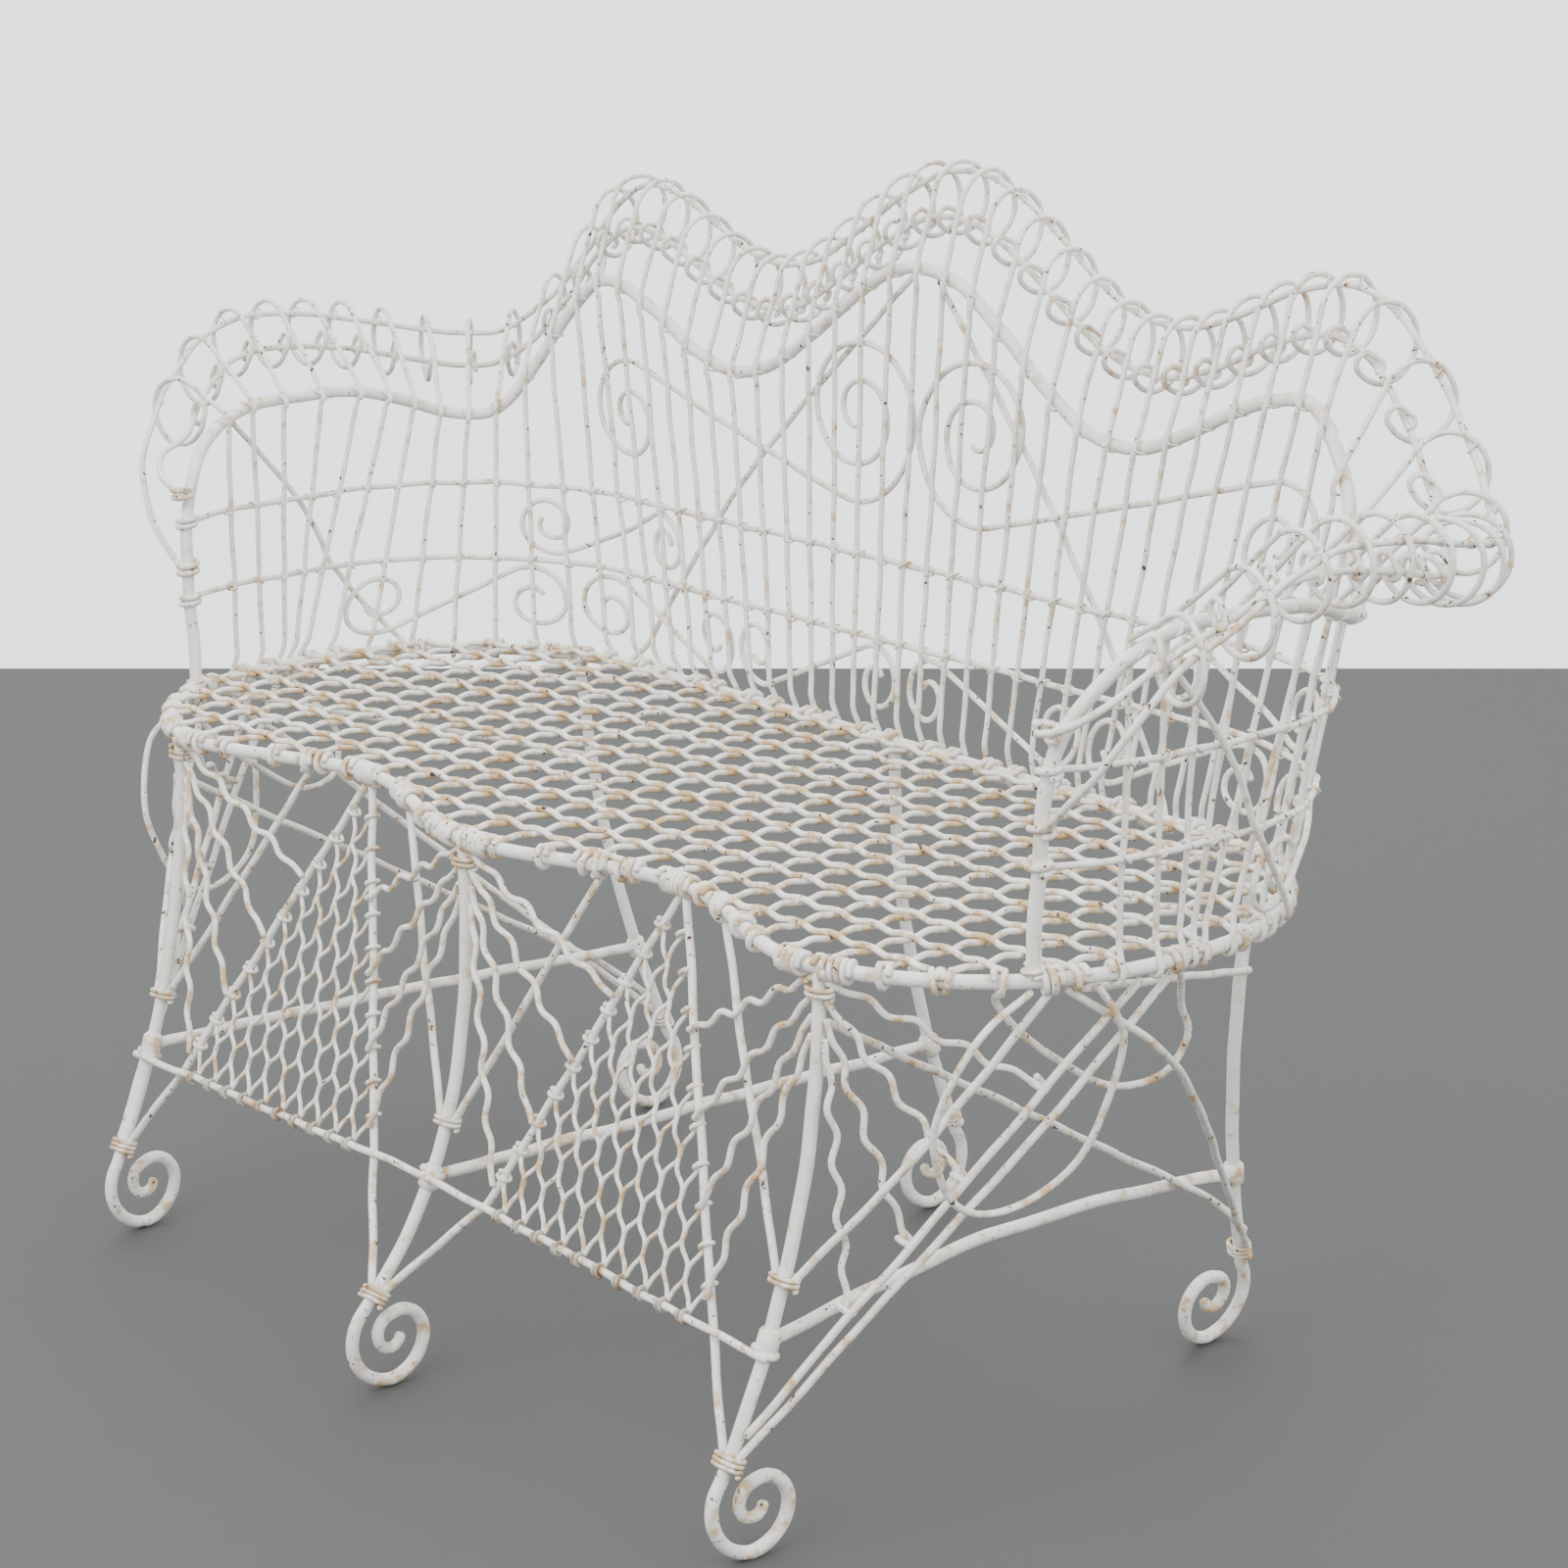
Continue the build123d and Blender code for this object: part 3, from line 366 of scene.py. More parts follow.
class Wires:
    """Round tubes, gathered into one mesh."""

    def __init__(self):
        self.vertices, self.faces, self.stains, self.count = [], [], [], 0

    def add(self, path, diameter, stain, sides=9, closed=False):
        """A tube along a path, rounded off at its ends."""
        path = np.asarray(path, float)
        if closed:
            heading = np.roll(path, -1, axis=0) - np.roll(path, 1, axis=0)
        else:
            heading = np.gradient(path, axis=0)
        heading /= np.linalg.norm(heading, axis=1)[:, None]
        radius = np.zeros(len(path)) + diameter / 2
        stain = np.zeros(len(path)) + stain
        if not closed:
            first = path[0] - heading[0] * radius[0] * END_BULGE
            last = path[-1] + heading[-1] * radius[-1] * END_BULGE
            path = np.vstack([first, path, last])
            heading = np.vstack([heading[:1], heading, heading[-1:]])
            radius = np.concatenate([radius[:1] * END_TAPER, radius, radius[-1:] * END_TAPER])
            stain = np.concatenate([stain[:1], stain, stain[-1:]])
        across = np.cross(heading[0], UP if abs(heading[0][2]) < 0.9 else -FORWARD)
        turn = np.linspace(0.0, 2 * math.pi, sides, endpoint=False)
        rings = []
        for point, ahead, size in zip(path, heading, radius):
            across = unit(across - ahead * (across @ ahead))
            spokes = np.outer(np.cos(turn), across) + np.outer(np.sin(turn), np.cross(ahead, across))
            rings.append(point + size * spokes)
        self.vertices.append(np.vstack(rings))
        self.stains.append(np.repeat(stain, sides))
        grid = self.count + np.arange(len(path) * sides).reshape(len(path), sides)
        onward = np.roll(grid, -1, axis=0) if closed else grid[1:]
        here = grid if closed else grid[:-1]
        quads = np.stack([here, np.roll(here, -1, axis=1), np.roll(onward, -1, axis=1), onward], axis=2)
        self.faces += quads.reshape(-1, 4).tolist()
        if not closed:
            self.faces += [grid[0, ::-1].tolist(), grid[-1].tolist()]
        self.count += len(path) * sides

    def wind(self, middle, axis, first, radius, wire, turns, pitch, stain):
        """Wire wound round a rod."""
        self.add(helix(middle, axis, first, radius, turns, pitch), wire, sides=8, stain=stain)

    def tie(self, middle, heading_a, heading_b, out, reach, stain):
        """A small loop of thin wire that binds two crossing wires."""
        side = unit(np.asarray(heading_a) - np.asarray(heading_b))
        turn = np.linspace(0.0, 2 * math.pi, 14, endpoint=False)[:, None]
        loop = middle + unit(out) * reach[0] * np.cos(turn) + side * reach[1] * np.sin(turn)
        self.add(loop, TIE_WIRE, sides=6, stain=stain, closed=True)

    def end_on(self, point, axis, wire, host, turns=1.1):
        """The end of a wire, wound round the wire it meets."""
        side = np.cross(unit(axis), (0.3, 0.8, 0.5))
        self.wind(point, axis, side, (host + wire) / 2, wire, turns, wire * WIRE_END_PITCH, stain=0.45)

    def bind(self, middle, axis, wide, turns, pitch, stain):
        """Binding wire laid flat round a leg and the wires on both sides of it, its pitch in diameters."""
        flatten = (LEG_R + BINDING_WIRE / 2) / wide
        path = helix(middle, axis, RIGHT, wide, turns, BINDING_WIRE * pitch, flatten, steps=18)
        self.add(path, BINDING_WIRE, sides=8, stain=stain)

    def make(self, node, material, slot="painted_wire"):
        """The piece that takes the place of a node."""
        name = f"{node}_look"
        mesh = bpy.data.meshes.new(name)
        mesh.from_pydata((np.vstack(self.vertices) * MM).tolist(), [], self.faces)
        mesh.attributes.new("stain", "FLOAT", "POINT").data.foreach_set("value", np.concatenate(self.stains))
        mesh.polygons.foreach_set("use_smooth", np.ones(len(mesh.polygons), bool))
        mesh.materials.append(material)
        piece = placed(name, mesh)
        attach(piece, "root")
        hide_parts(node)


# Materials
def painted_iron(name, pale, warm, rust_amount, chip_amount, bump):
    """Old white paint, brushed on thick, stained by rust and chipped to dark iron."""
    material = bpy.data.materials.new(name)
    material.use_nodes = True
    nodes, links = material.node_tree.nodes, material.node_tree.links
    shader = nodes["Principled BSDF"]

    def made(kind, output, inputs, **settings):
        """An output of a new node, its inputs set to values or linked to sockets."""
        node = nodes.new(kind)
        for name, value in settings.items():
            setattr(node, name, value)
        for name, value in inputs.items():
            if isinstance(value, bpy.types.NodeSocket):
                links.new(value, node.inputs[name])
            else:
                node.inputs[name].default_value = (*value, 1.0) if isinstance(value, tuple) else value
        return node.outputs[output]

    def noise(scale, detail):
        inputs = {"Vector": place, "Scale": scale, "Detail": detail, "Roughness": 0.6}
        return made("ShaderNodeTexNoise", "Fac", inputs)

    def ramp(value, low, high):
        return made("ShaderNodeMapRange", "Result", {"Value": value, "From Min": low, "From Max": high},
                    interpolation_type="SMOOTHSTEP")

    def sums(kind, a, b):
        return made("ShaderNodeMath", "Value", {0: a, 1: b}, operation=kind)

    def mixed(share, a, b):
        return made("ShaderNodeMix", 2, {"Factor": share, 6: a, 7: b}, data_type="RGBA")

    place = made("ShaderNodeTexCoord", "Object", {})
    stained = made("ShaderNodeAttribute", "Fac", {}, attribute_name="stain")
    paint = mixed(ramp(noise(scale=35.0, detail=4.0), low=0.35, high=0.7), pale, warm)
    rust_field = sums("ADD", noise(scale=70.0, detail=6.0), sums("MULTIPLY", stained, RUST_BY_STAIN))
    rusted = ramp(rust_field, low=0.62 - rust_amount, high=0.80 - rust_amount)
    rust = sums("MULTIPLY", rusted, RUST_STRENGTH)
    paint = mixed(rust, paint, RUST_COLOUR)
    chip_field = sums("ADD", noise(scale=190.0, detail=5.0), sums("MULTIPLY", stained, CHIP_BY_STAIN))
    chip = ramp(chip_field, low=0.73 - chip_amount, high=0.77 - chip_amount)
    links.new(mixed(chip, paint, IRON_COLOUR), shader.inputs["Base Color"])
    worn = sums("MULTIPLY", sums("MAXIMUM", rust, chip), WORN_ROUGHNESS)
    spread = sums("MULTIPLY", noise(scale=160.0, detail=3.0), GLOSS_SPREAD)
    links.new(sums("ADD", sums("ADD", PAINT_ROUGHNESS, worn), spread), shader.inputs["Roughness"])
    strokes = sums("MULTIPLY", noise(scale=90.0, detail=3.0), BRUSH_SHARE)
    relief = sums("SUBTRACT", sums("ADD", noise(scale=260.0, detail=4.0), strokes), chip)
    height = made("ShaderNodeBump", "Normal", {"Strength": bump, "Distance": RELIEF_DEPTH, "Height": relief})
    links.new(height, shader.inputs["Normal"])
    return material


ROD_PAINT = painted_iron("rod_paint", (0.84, 0.83, 0.80), (0.78, 0.76, 0.70), 0.02, 0.055, 0.35)
WIRE_PAINT = painted_iron("wire_paint", (0.83, 0.82, 0.78), (0.76, 0.735, 0.66), 0.05, 0.085, 0.3)
SEAT_PAINT = painted_iron("seat_paint", (0.84, 0.825, 0.78), (0.79, 0.75, 0.65), 0.075, 0.06, 0.35)


# Wall of the back and arms, by station along it and height
def wall_plan(z):
    """Half length, back and corner radius of the wall at a height."""
    k = (z - SEAT_HEIGHT) / WALL_RISE
    half = SEAT_HALF_LENGTH + WALL_HALF_GROWTH * min(k, WALL_GROWTH_LIMIT)
    corner = max(WALL_CORNER_LEAST, REAR_CORNER_RADIUS - WALL_CORNER_TIGHTENING * k)
    return half, SEAT_BACK + WALL_BACK_LEAN * k, corner


def wall_lengths():
    half, back, corner = wall_plan(UPPER_RAIL_HEIGHT)
    return half - corner, corner * math.pi / 2, back - corner - FRONT_CORNER_Y


BACK_RUN, CORNER_RUN, ARM_RUN = wall_lengths()


def wall(station, z, out=0.0):
    """Point of the wall at a station from its middle, moved outward, with the outward direction."""
    side, run = math.copysign(1.0, station), abs(station)
    half, back, corner = wall_plan(z)
    if run <= BACK_RUN:
        x, y, turn = (half - corner) * run / BACK_RUN, back, 0.0
    elif run <= BACK_RUN + CORNER_RUN:
        turn = math.pi / 2 * (run - BACK_RUN) / CORNER_RUN
        x, y = half - corner + corner * math.sin(turn), back - corner + corner * math.cos(turn)
    elif run <= BACK_RUN + CORNER_RUN + ARM_RUN:
        x, turn = half, math.pi / 2
        y = blend(back - corner, FRONT_CORNER_Y, (run - BACK_RUN - CORNER_RUN) / ARM_RUN)
    else:
        bend = (run - BACK_RUN - CORNER_RUN - ARM_RUN) / FRONT_CORNER_RADIUS
        x = half - FRONT_CORNER_RADIUS * (1 - math.cos(bend))
        y, turn = FRONT_CORNER_Y - FRONT_CORNER_RADIUS * math.sin(bend), math.pi / 2 + bend
    outward = np.array((side * math.sin(turn), math.cos(turn), 0.0))
    return np.array((side * x, y, z)) + out * outward, outward


def crest_height(station):
    run = abs(station)
    for (start, high), (end, low) in zip(CREST_CROWNS[:-1], CREST_CROWNS[1:]):
        if run <= end:
            return eased(high, low, (run - start) / (end - start))
    reach = min(max(run - (POST_STATION - ARM_BEND_RADIUS), 0.0) / ARM_BEND_RADIUS, 1.0)
    return CREST_CROWNS[-1][1] - ARM_BEND_RADIUS * (1 - math.sqrt(1 - reach * reach))


def on_spindles(station, z, out=0.0):
    """Point beside the straight part of a spindle."""
    top = crest_height(station)
    foot, outward = wall(station, RIM_TOP)
    head, _ = wall(station, top, -SPINDLE_INSET)
    point = blend(foot, head, (z - RIM_TOP) / (top - RIM_TOP))
    return np.array((point[0], point[1], z)) + out * outward


# Seat rim
def front_corner(turn):
    """Plan of the rim's front corner after a turn in degrees."""
    bend = math.radians(turn)
    return (SEAT_HALF_LENGTH - FRONT_CORNER_RADIUS * (1 - math.cos(bend)),
            FRONT_CORNER_Y - FRONT_CORNER_RADIUS * math.sin(bend))


CORNER_END_X, CORNER_END_Y = front_corner(FRONT_CORNER_TURN)
FRONT_LEG_X, FRONT_LEG_Y = front_corner(FRONT_LEG_TURN)


def rim_half():
    """Right half of the rim, from the middle of the back to the middle of the front."""
    reach = BACK_RUN + CORNER_RUN + ARM_RUN
    plan = [wall(reach * k / WALL_STEPS, SEAT_HEIGHT)[0] for k in range(WALL_STEPS + 1)]
    for k in range(1, CORNER_STEPS + 1):
        plan.append((*front_corner(FRONT_CORNER_TURN * k / CORNER_STEPS), SEAT_HEIGHT))
    bends = ((CORNER_END_X, CORNER_END_Y), (SCALLOP_X, SCALLOP_Y), (0.0, FRONT_MIDDLE_Y))
    for (x0, y0), (x1, y1) in zip(bends[:-1], bends[1:]):
        for k in range(1, SCALLOP_STEPS + 1):
            plan.append((blend(x0, x1, k / SCALLOP_STEPS), eased(y0, y1, k / SCALLOP_STEPS), SEAT_HEIGHT))
    return np.array(plan)


RIM_RIGHT = rim_half()
RIM_LOOP = np.vstack([RIM_RIGHT, mirrored(RIM_RIGHT[1:-1])[::-1]])
RIM_HEADING = np.roll(RIM_LOOP, -1, axis=0) - np.roll(RIM_LOOP, 1, axis=0)
RIM_HEADING /= np.linalg.norm(RIM_HEADING, axis=1)[:, None]


def rim_near(x, y):
    """Nearest point of the rim with the direction along it and the direction into the seat."""
    index = int(np.argmin(np.hypot(RIM_LOOP[:, 0] - x, RIM_LOOP[:, 1] - y)))
    heading = RIM_HEADING[index]
    return RIM_LOOP[index], heading, np.array((heading[1], -heading[0], 0.0))


def make_rim():
    wires = Wires()
    loop = resample(np.vstack([RIM_LOOP, RIM_LOOP[:1]]), spacing=8.0)[:-1]
    wires.add(loop, FRAME_ROD, sides=18, stain=0.35, closed=True)
    windings = [(x, SCALLOP_Y, SCALLOP_WINDING) for x in (-SCALLOP_X, SCALLOP_X)]
    for x, y in ((0.0, FRONT_MIDDLE_Y), (FRONT_LEG_X, FRONT_LEG_Y), (-FRONT_LEG_X, FRONT_LEG_Y)):
        for shift in (-RIM_LEG_WINDING_SHIFT, RIM_LEG_WINDING_SHIFT):
            windings.append((x + shift, y, RIM_LEG_WINDING))
    for x, y, winding in windings:
        middle, heading, inward = rim_near(x, y)
        wires.wind(middle, heading, -inward, FRAME_R + RIM_WINDING_LAYER, RIM_WINDING_WIRE, *winding, stain=0.8)
    wires.make("seat_rim", ROD_PAINT, "painted_rod")


# Woven seat
def chords(axis, place):
    """Runs of a line inside the rim, at a place on the axis that it crosses."""
    ends = []
    plan = RIM_LOOP[:, :2]
    for a, b in zip(plan, np.roll(plan, -1, axis=0)):
        if (a[axis] < place) != (b[axis] < place):
            ends.append(blend(a[1 - axis], b[1 - axis], (place - a[axis]) / (b[axis] - a[axis])))
    ends.sort()
    return list(zip(ends[0::2], ends[1::2]))


def rim_hitch(point, hand):
    """The end of a woven wire, wound round the rim."""
    middle, heading, inward = rim_near(*point)
    radius = FRAME_R + LATTICE_WIRE / 2
    angle = np.linspace(*HITCH_TURNS, 30)[:, None]
    drift = np.linspace(0.0, HITCH_DRIFT * hand, 30)[:, None]
    return middle + radius * (UP * np.sin(angle) - inward * np.cos(angle)) + heading * drift


def woven_wire(axis, row, place, low, high):
    """One wire of the seat: crimped at every wire it crosses, with both ends wound round the rim."""
    run = np.arange(low + LATTICE_END_GAP, high - LATTICE_END_GAP, LATTICE_PITCH / LATTICE_STEPS)
    phase = (run / LATTICE_PITCH - 0.5 * (1 - axis)) * 2 * math.pi
    lift = (LATTICE_LIFT + LATTICE_CRIMP * np.cos(phase)) * (1.0 if axis else -1.0)
    sway = place + np.sin(phase) * LATTICE_SWAY
    plan = (run, sway) if axis else (sway, run)
    path = np.stack([*plan, LATTICE_LEVEL + lift], axis=1)
    ends = [(t, place) if axis else (place, t) for t in (low, high)]
    hand = 1.0 if (row + axis) % 2 else -1.0
    path = np.vstack([rim_hitch(ends[0], hand)[::-1], path, rim_hitch(ends[1], hand)])
    return wandering(smooth(path, spacing=4.2), amount=0.5, seed=20 + 100 * axis + row)


def make_seat():
    for axis, node in ((0, "seat_cross_wires"), (1, "seat_long_wires")):
        wires = Wires()
        for row in range(-LATTICE_ROWS, LATTICE_ROWS + 1):
            place = (row + 0.5 * axis) * LATTICE_PITCH
            for low, high in chords(axis, place):
                if high - low > LATTICE_LEAST_RUN:
                    path = woven_wire(axis, row, place, low, high)
                    across = path[:, 1 - axis] / LATTICE_PITCH - 0.5 * (1 - axis)
                    crossing = np.abs(np.cos(across * math.pi)) ** 3
                    wires.add(path, LATTICE_WIRE, stain=SEAT_STAIN + CROSSING_STAIN * crossing)
        wires.make(node, SEAT_PAINT, "stained_seat_wire")


# Legs
FOOT_MIDDLE = FOOT_SCROLL_RADIUS + LEG_R
ANKLE_HEIGHT = FOOT_MIDDLE + FOOT_SCROLL_RADIUS * math.sin(math.radians(ANKLE_TURN))


def leg_path(top, outward, flare, sweep, draw_in=0.0):
    """From under the rim, flaring outward to the ankle, then round the rolled foot."""
    drop = RIM_UNDERSIDE - ANKLE_HEIGHT
    profile = [(flare * k ** sweep, RIM_UNDERSIDE - drop * k) for k in np.linspace(0.0, 1.0, 40)]
    middle = flare - FOOT_SCROLL_RADIUS * math.cos(math.radians(ANKLE_TURN))
    for turn in np.arange(FOOT_TURN_STEP, FOOT_SCROLL_TURNS[-1] + 1.0, FOOT_TURN_STEP):
        radius = np.interp(turn, FOOT_SCROLL_TURNS, FOOT_SCROLL_RADII)
        angle = math.radians(ANKLE_TURN - turn)
        profile.append((middle + radius * math.cos(angle), FOOT_MIDDLE + radius * math.sin(angle)))
    path = []
    for reach, z in profile:
        inward = math.copysign(draw_in * (RIM_UNDERSIDE - z) / RIM_UNDERSIDE, top[0])
        path.append((top[0] + outward[0] * reach - inward, top[1] + outward[1] * reach, z))
    return smooth(path, spacing=4.5)


SPLAY = (math.sin(math.radians(FRONT_LEG_SPLAY)), -math.cos(math.radians(FRONT_LEG_SPLAY)))
LEGS = {
    "front_middle_leg": leg_path((0.0, FRONT_MIDDLE_Y), (0.0, -1.0), flare=109.0, sweep=3.2),
    "front_right_leg": leg_path((FRONT_LEG_X, FRONT_LEG_Y), SPLAY, flare=85.0, sweep=2.1),
    "rear_middle_leg": leg_path((0.0, SEAT_BACK), (0.0, 1.0), flare=76.0, sweep=2.0),
    "rear_right_leg": leg_path((REAR_LEG_STATION, SEAT_BACK - REAR_LEG_INSET), (0.0, 1.0),
                               flare=58.0, sweep=2.2, draw_in=63.0),
}
LEGS["front_left_leg"] = mirrored(LEGS["front_right_leg"])
LEGS["rear_left_leg"] = mirrored(LEGS["rear_right_leg"])
FRONT_LEGS = [LEGS[f"front_{side}_leg"] for side in ("left", "middle", "right")]
REAR_RIGHT, FRONT_RIGHT = LEGS["rear_right_leg"], LEGS["front_right_leg"]


def at_height(leg, z):
    for p, q in zip(leg[:-1], leg[1:]):
        if q[2] <= z <= p[2]:
            return blend(p, q, (p[2] - z) / (p[2] - q[2]))
    return leg[0]


def leg_heading(leg, z):
    return unit(at_height(leg, z + LEG_HEADING_REACH) - at_height(leg, z - LEG_HEADING_REACH))


def beside_leg(leg, z, side, diameter=BRACE_WIRE):
    """A place beside a leg where a wire of that diameter lies against it."""
    return at_height(leg, z) + RIGHT * (side * (LEG_R + diameter / 2))


def make_legs():
    for number, (node, path) in enumerate(LEGS.items()):
        wires = Wires()
        diameter = np.full(len(path), LEG_ROD)
        diameter[-FOOT_TAPER_STEPS:] *= np.linspace(1.0, FOOT_TAPER, FOOT_TAPER_STEPS)
        stain = np.clip((LEG_STAIN_HEIGHT - path[:, 2]) / LEG_STAIN_HEIGHT, *LEG_STAIN_RANGE)
        stain[-FOOT_STAIN_STEPS:] = FOOT_STAIN
        wires.add(wandering(path, amount=0.5, seed=300 + number), diameter, sides=18, stain=stain)
        wires.make(node, ROD_PAINT, "painted_rod")


def stretcher_line(side):
    """Middle line of a stretcher between the collars of a front leg and the leg behind it."""
    front = at_height(LEGS[f"front_{side}_leg"], STRETCHER_FRONT_HEIGHT)
    rear = at_height(LEGS[f"rear_{side}_leg"], STRETCHER_REAR_HEIGHT)
    along = unit(rear - front) * (LEG_R + STRETCHER_END_GAP)
    rise = UP * STRETCHER_RISE[side]
    shares = np.linspace(0, 1, STRETCHER_STEPS + 1)
    return [blend(front + along, rear - along, k) + rise * math.sin(math.pi * k) for k in shares]


def make_stretchers():
    for number, side in enumerate(STRETCHER_RISE):
        wires = Wires()
        line = wandering(stretcher_line(side), amount=1.2, seed=320 + number)
        wires.add(line, STRETCHER_ROD, sides=14, stain=0.55)
        for end, height in (("front", STRETCHER_FRONT_HEIGHT), ("rear", STRETCHER_REAR_HEIGHT)):
            leg = LEGS[f"{end}_{side}_leg"]
            axis, collar = leg_heading(leg, height), at_height(leg, height)
            band = [collar + axis * COLLAR_HEIGHT * share for share, _ in COLLAR_PROFILE]
            size = np.array([LEG_R + COLLAR_WALL - chamfer for _, chamfer in COLLAR_PROFILE]) * 2
            wires.add(band, size, sides=24, stain=0.7)
        wires.make(f"{side}_stretcher", ROD_PAINT, "painted_rod")


# Crest, rails and rolled edge
def crest_half():
    """Right arm post, the bend above it and the crest to its middle."""
    bend, spring = POST_STATION - ARM_BEND_RADIUS, CREST_CROWNS[-1][1] - ARM_BEND_RADIUS
    half = [wall(POST_STATION, z)[0] for z in np.linspace(RIM_TOP - POST_SINK, spring, 14)]
    for turn in np.radians(np.arange(ARM_BEND_STEP, 91.0, ARM_BEND_STEP)):
        half.append(wall(bend + ARM_BEND_RADIUS * math.cos(turn), spring + ARM_BEND_RADIUS * math.sin(turn))[0])
    half += [wall(s, crest_height(s))[0] for s in np.linspace(bend, 0.0, 130)[1:]]
    return np.array(half)


def make_crest():
    half = crest_half()
    wires = Wires()
    path = wandering(np.vstack([mirrored(half[:-1]), half[::-1]]), amount=1.0, seed=340)
    wires.add(path, FRAME_ROD, sides=16, stain=0.2)
    for side in (-1.0, 1.0):
        foot, outward = wall(side * POST_STATION, RIM_TOP + POST_WINDING_RISE)
        wires.wind(foot, UP, outward, FRAME_R + POST_WINDING_WIRE / 2, POST_WINDING_WIRE,
                   turns=1.6, pitch=4.2, stain=0.7)
    wires.make("crest_rod", ROD_PAINT, "painted_rod")


def post_at(z):
    """Station of the arm post, or of the bend above it, at a height."""
    rise = max(z - CREST_CROWNS[-1][1] + ARM_BEND_RADIUS, 0.0)
    return POST_STATION - ARM_BEND_RADIUS + math.sqrt(ARM_BEND_RADIUS ** 2 - rise ** 2)


def make_rails():
    for number, (node, z) in enumerate((("upper_rail", UPPER_RAIL_HEIGHT), ("lower_rail", LOWER_RAIL_HEIGHT))):
        wires = Wires()
        reach = post_at(z) - FRAME_R
        path = [on_spindles(s, z, RAIL_LAYER) for s in np.linspace(-reach, reach, 260)]
        wires.add(wandering(path, amount=1.0, seed=350 + number), RAIL_WIRE, sides=10, stain=0.25)
        for k, s in enumerate(SPINDLE_STATIONS):
            middle, outward = on_spindles(s, z, RAIL_LAYER / 2), wall(s, z)[1]
            along = np.cross(UP, outward) * (-1.0) ** k
            wires.tie(middle, UP, along, outward, reach=(6.3, 4.6), stain=0.4)
        for side in (-1.0, 1.0):
            post, outward = wall(side * post_at(z), z)
            wires.wind(post, UP, outward, FRAME_R + RAIL_WIRE / 2, RAIL_WIRE,
                       turns=1.6, pitch=5.6, stain=0.6)
        wires.make(node, WIRE_PAINT)


def roll_frame(station):
    """Middle of the roll at a station, with its directions away from the crest and across."""
    run = abs(station)
    into_arm = (run - BACK_RUN) / (ROLL_CORNER_SHARE * CORNER_RUN)
    into_end = (run - POST_STATION + ARM_BEND_RADIUS * ROLL_END_SHARE) / ARM_BEND_RADIUS
    lean = math.radians(eased(eased(ROLL_LEAN_BACK, ROLL_LEAN_ARM, into_arm), ROLL_LEAN_END, into_end))
    back_reach = ROLL_REACH_BACK - ROLL_LEVELLING * (crest_height(station) - ROLL_LEVEL_HEIGHT)
    reach = eased(eased(back_reach, ROLL_REACH_ARM, into_arm), ROLL_REACH_END, into_end)
    crest, outward = wall(station, crest_height(station))
    away = outward * math.sin(lean) + UP * math.cos(lean)
    across = outward * math.cos(lean) - UP * math.sin(lean)
    return crest + away * (reach - UNDER_RING) + across * RING_OVERHANG, away, across


def spindle_lift(station, lean):
    """How far a spindle rises past the middle of the crest before it leans out over it."""
    slope = crest_height(station + 1) - crest_height(station)
    clear = SPINDLE_INSET * math.hypot(1, slope * math.sin(lean))
    return max(clear - SPINDLE_INSET * math.cos(lean), 0.0) / math.sin(lean)


def spindle_path(station):
    """From a hook under the rim, up inside the crest, round into a ring and over the inner wire."""
    middle, away, across = roll_frame(station)
    top = crest_height(station) + spindle_lift(station, math.acos(away[2]))
    rim, outward = wall(station, SEAT_HEIGHT)
    hook_radius = FRAME_R + SPINDLE_WIRE / 2
    path = [rim + hook_radius * (outward * math.cos(a) + UP * math.sin(a)) for a in np.radians(RIM_HOOK_TURNS)]
    path += [on_spindles(station, z) for z in np.linspace(RIM_TOP + SHANK_START, top, 24)]
    offset = middle - on_spindles(station, top)
    side, rise = offset @ across, offset @ away
    heading = math.atan2(rise, side) + math.asin(RING_RADIUS / math.hypot(side, rise))
    bottom = math.degrees(heading) + 180.0 + RING_BOTTOM_TURN
    for turn in np.linspace(0.0, bottom, 34):
        angle = heading + math.pi / 2 - math.radians(turn)
        path.append(middle + RING_RADIUS * (across * math.cos(angle) + away * math.sin(angle)))
    along = np.cross(across, away) * SPINDLE_WIRE
    for step, (side, rise) in enumerate(RING_RETURN):
        path.append(middle + across * side + away * rise + along * RING_RETURN_DRIFT * (step + 1))
    inner, inner_reach = middle - away * ROLL_INNER_DROP, (SPINDLE_WIRE + ROLL_WIRE) / 2
    for step, turn in enumerate(np.radians(RING_HOOK_TURNS)):
        spoke = inner_reach * (across * math.cos(turn) + away * math.sin(turn))
        path.append(inner + spoke + along * (1.0 + RING_HOOK_DRIFT * step))
    return smooth(path, spacing=4.0)


def make_spindles():
    groups = {"left_arm_spindles": [], "back_spindles": [], "right_arm_spindles": []}
    for s in SPINDLE_STATIONS:
        on_arm = "left_arm_spindles" if s < 0 else "right_arm_spindles"
        groups["back_spindles" if abs(s) <= BACK_RUN else on_arm].append(s)
    for node, stations in groups.items():
        wires = Wires()
        for s in stations:
            path = wandering(spindle_path(s), amount=0.9, seed=int(1000 + s))
            stain = np.full(len(path), SPINDLE_STAIN)
            stain[-RING_END_STEPS:] = RING_END_STAIN
            wires.add(path, SPINDLE_WIRE, stain=stain)
            crest, outward = wall(s, crest_height(s))
            ahead, behind = (wall(t, crest_height(t))[0] for t in (s + TANGENT_STEP, s - TANGENT_STEP))
            middle, crest_reach = crest - outward * SPINDLE_WIRE / 2, FRAME_R + SPINDLE_WIRE / 2 + 0.9
            wires.tie(middle, UP, unit(ahead - behind), outward, (crest_reach, 6.6), stain=0.45)
        wires.make(node, WIRE_PAINT)


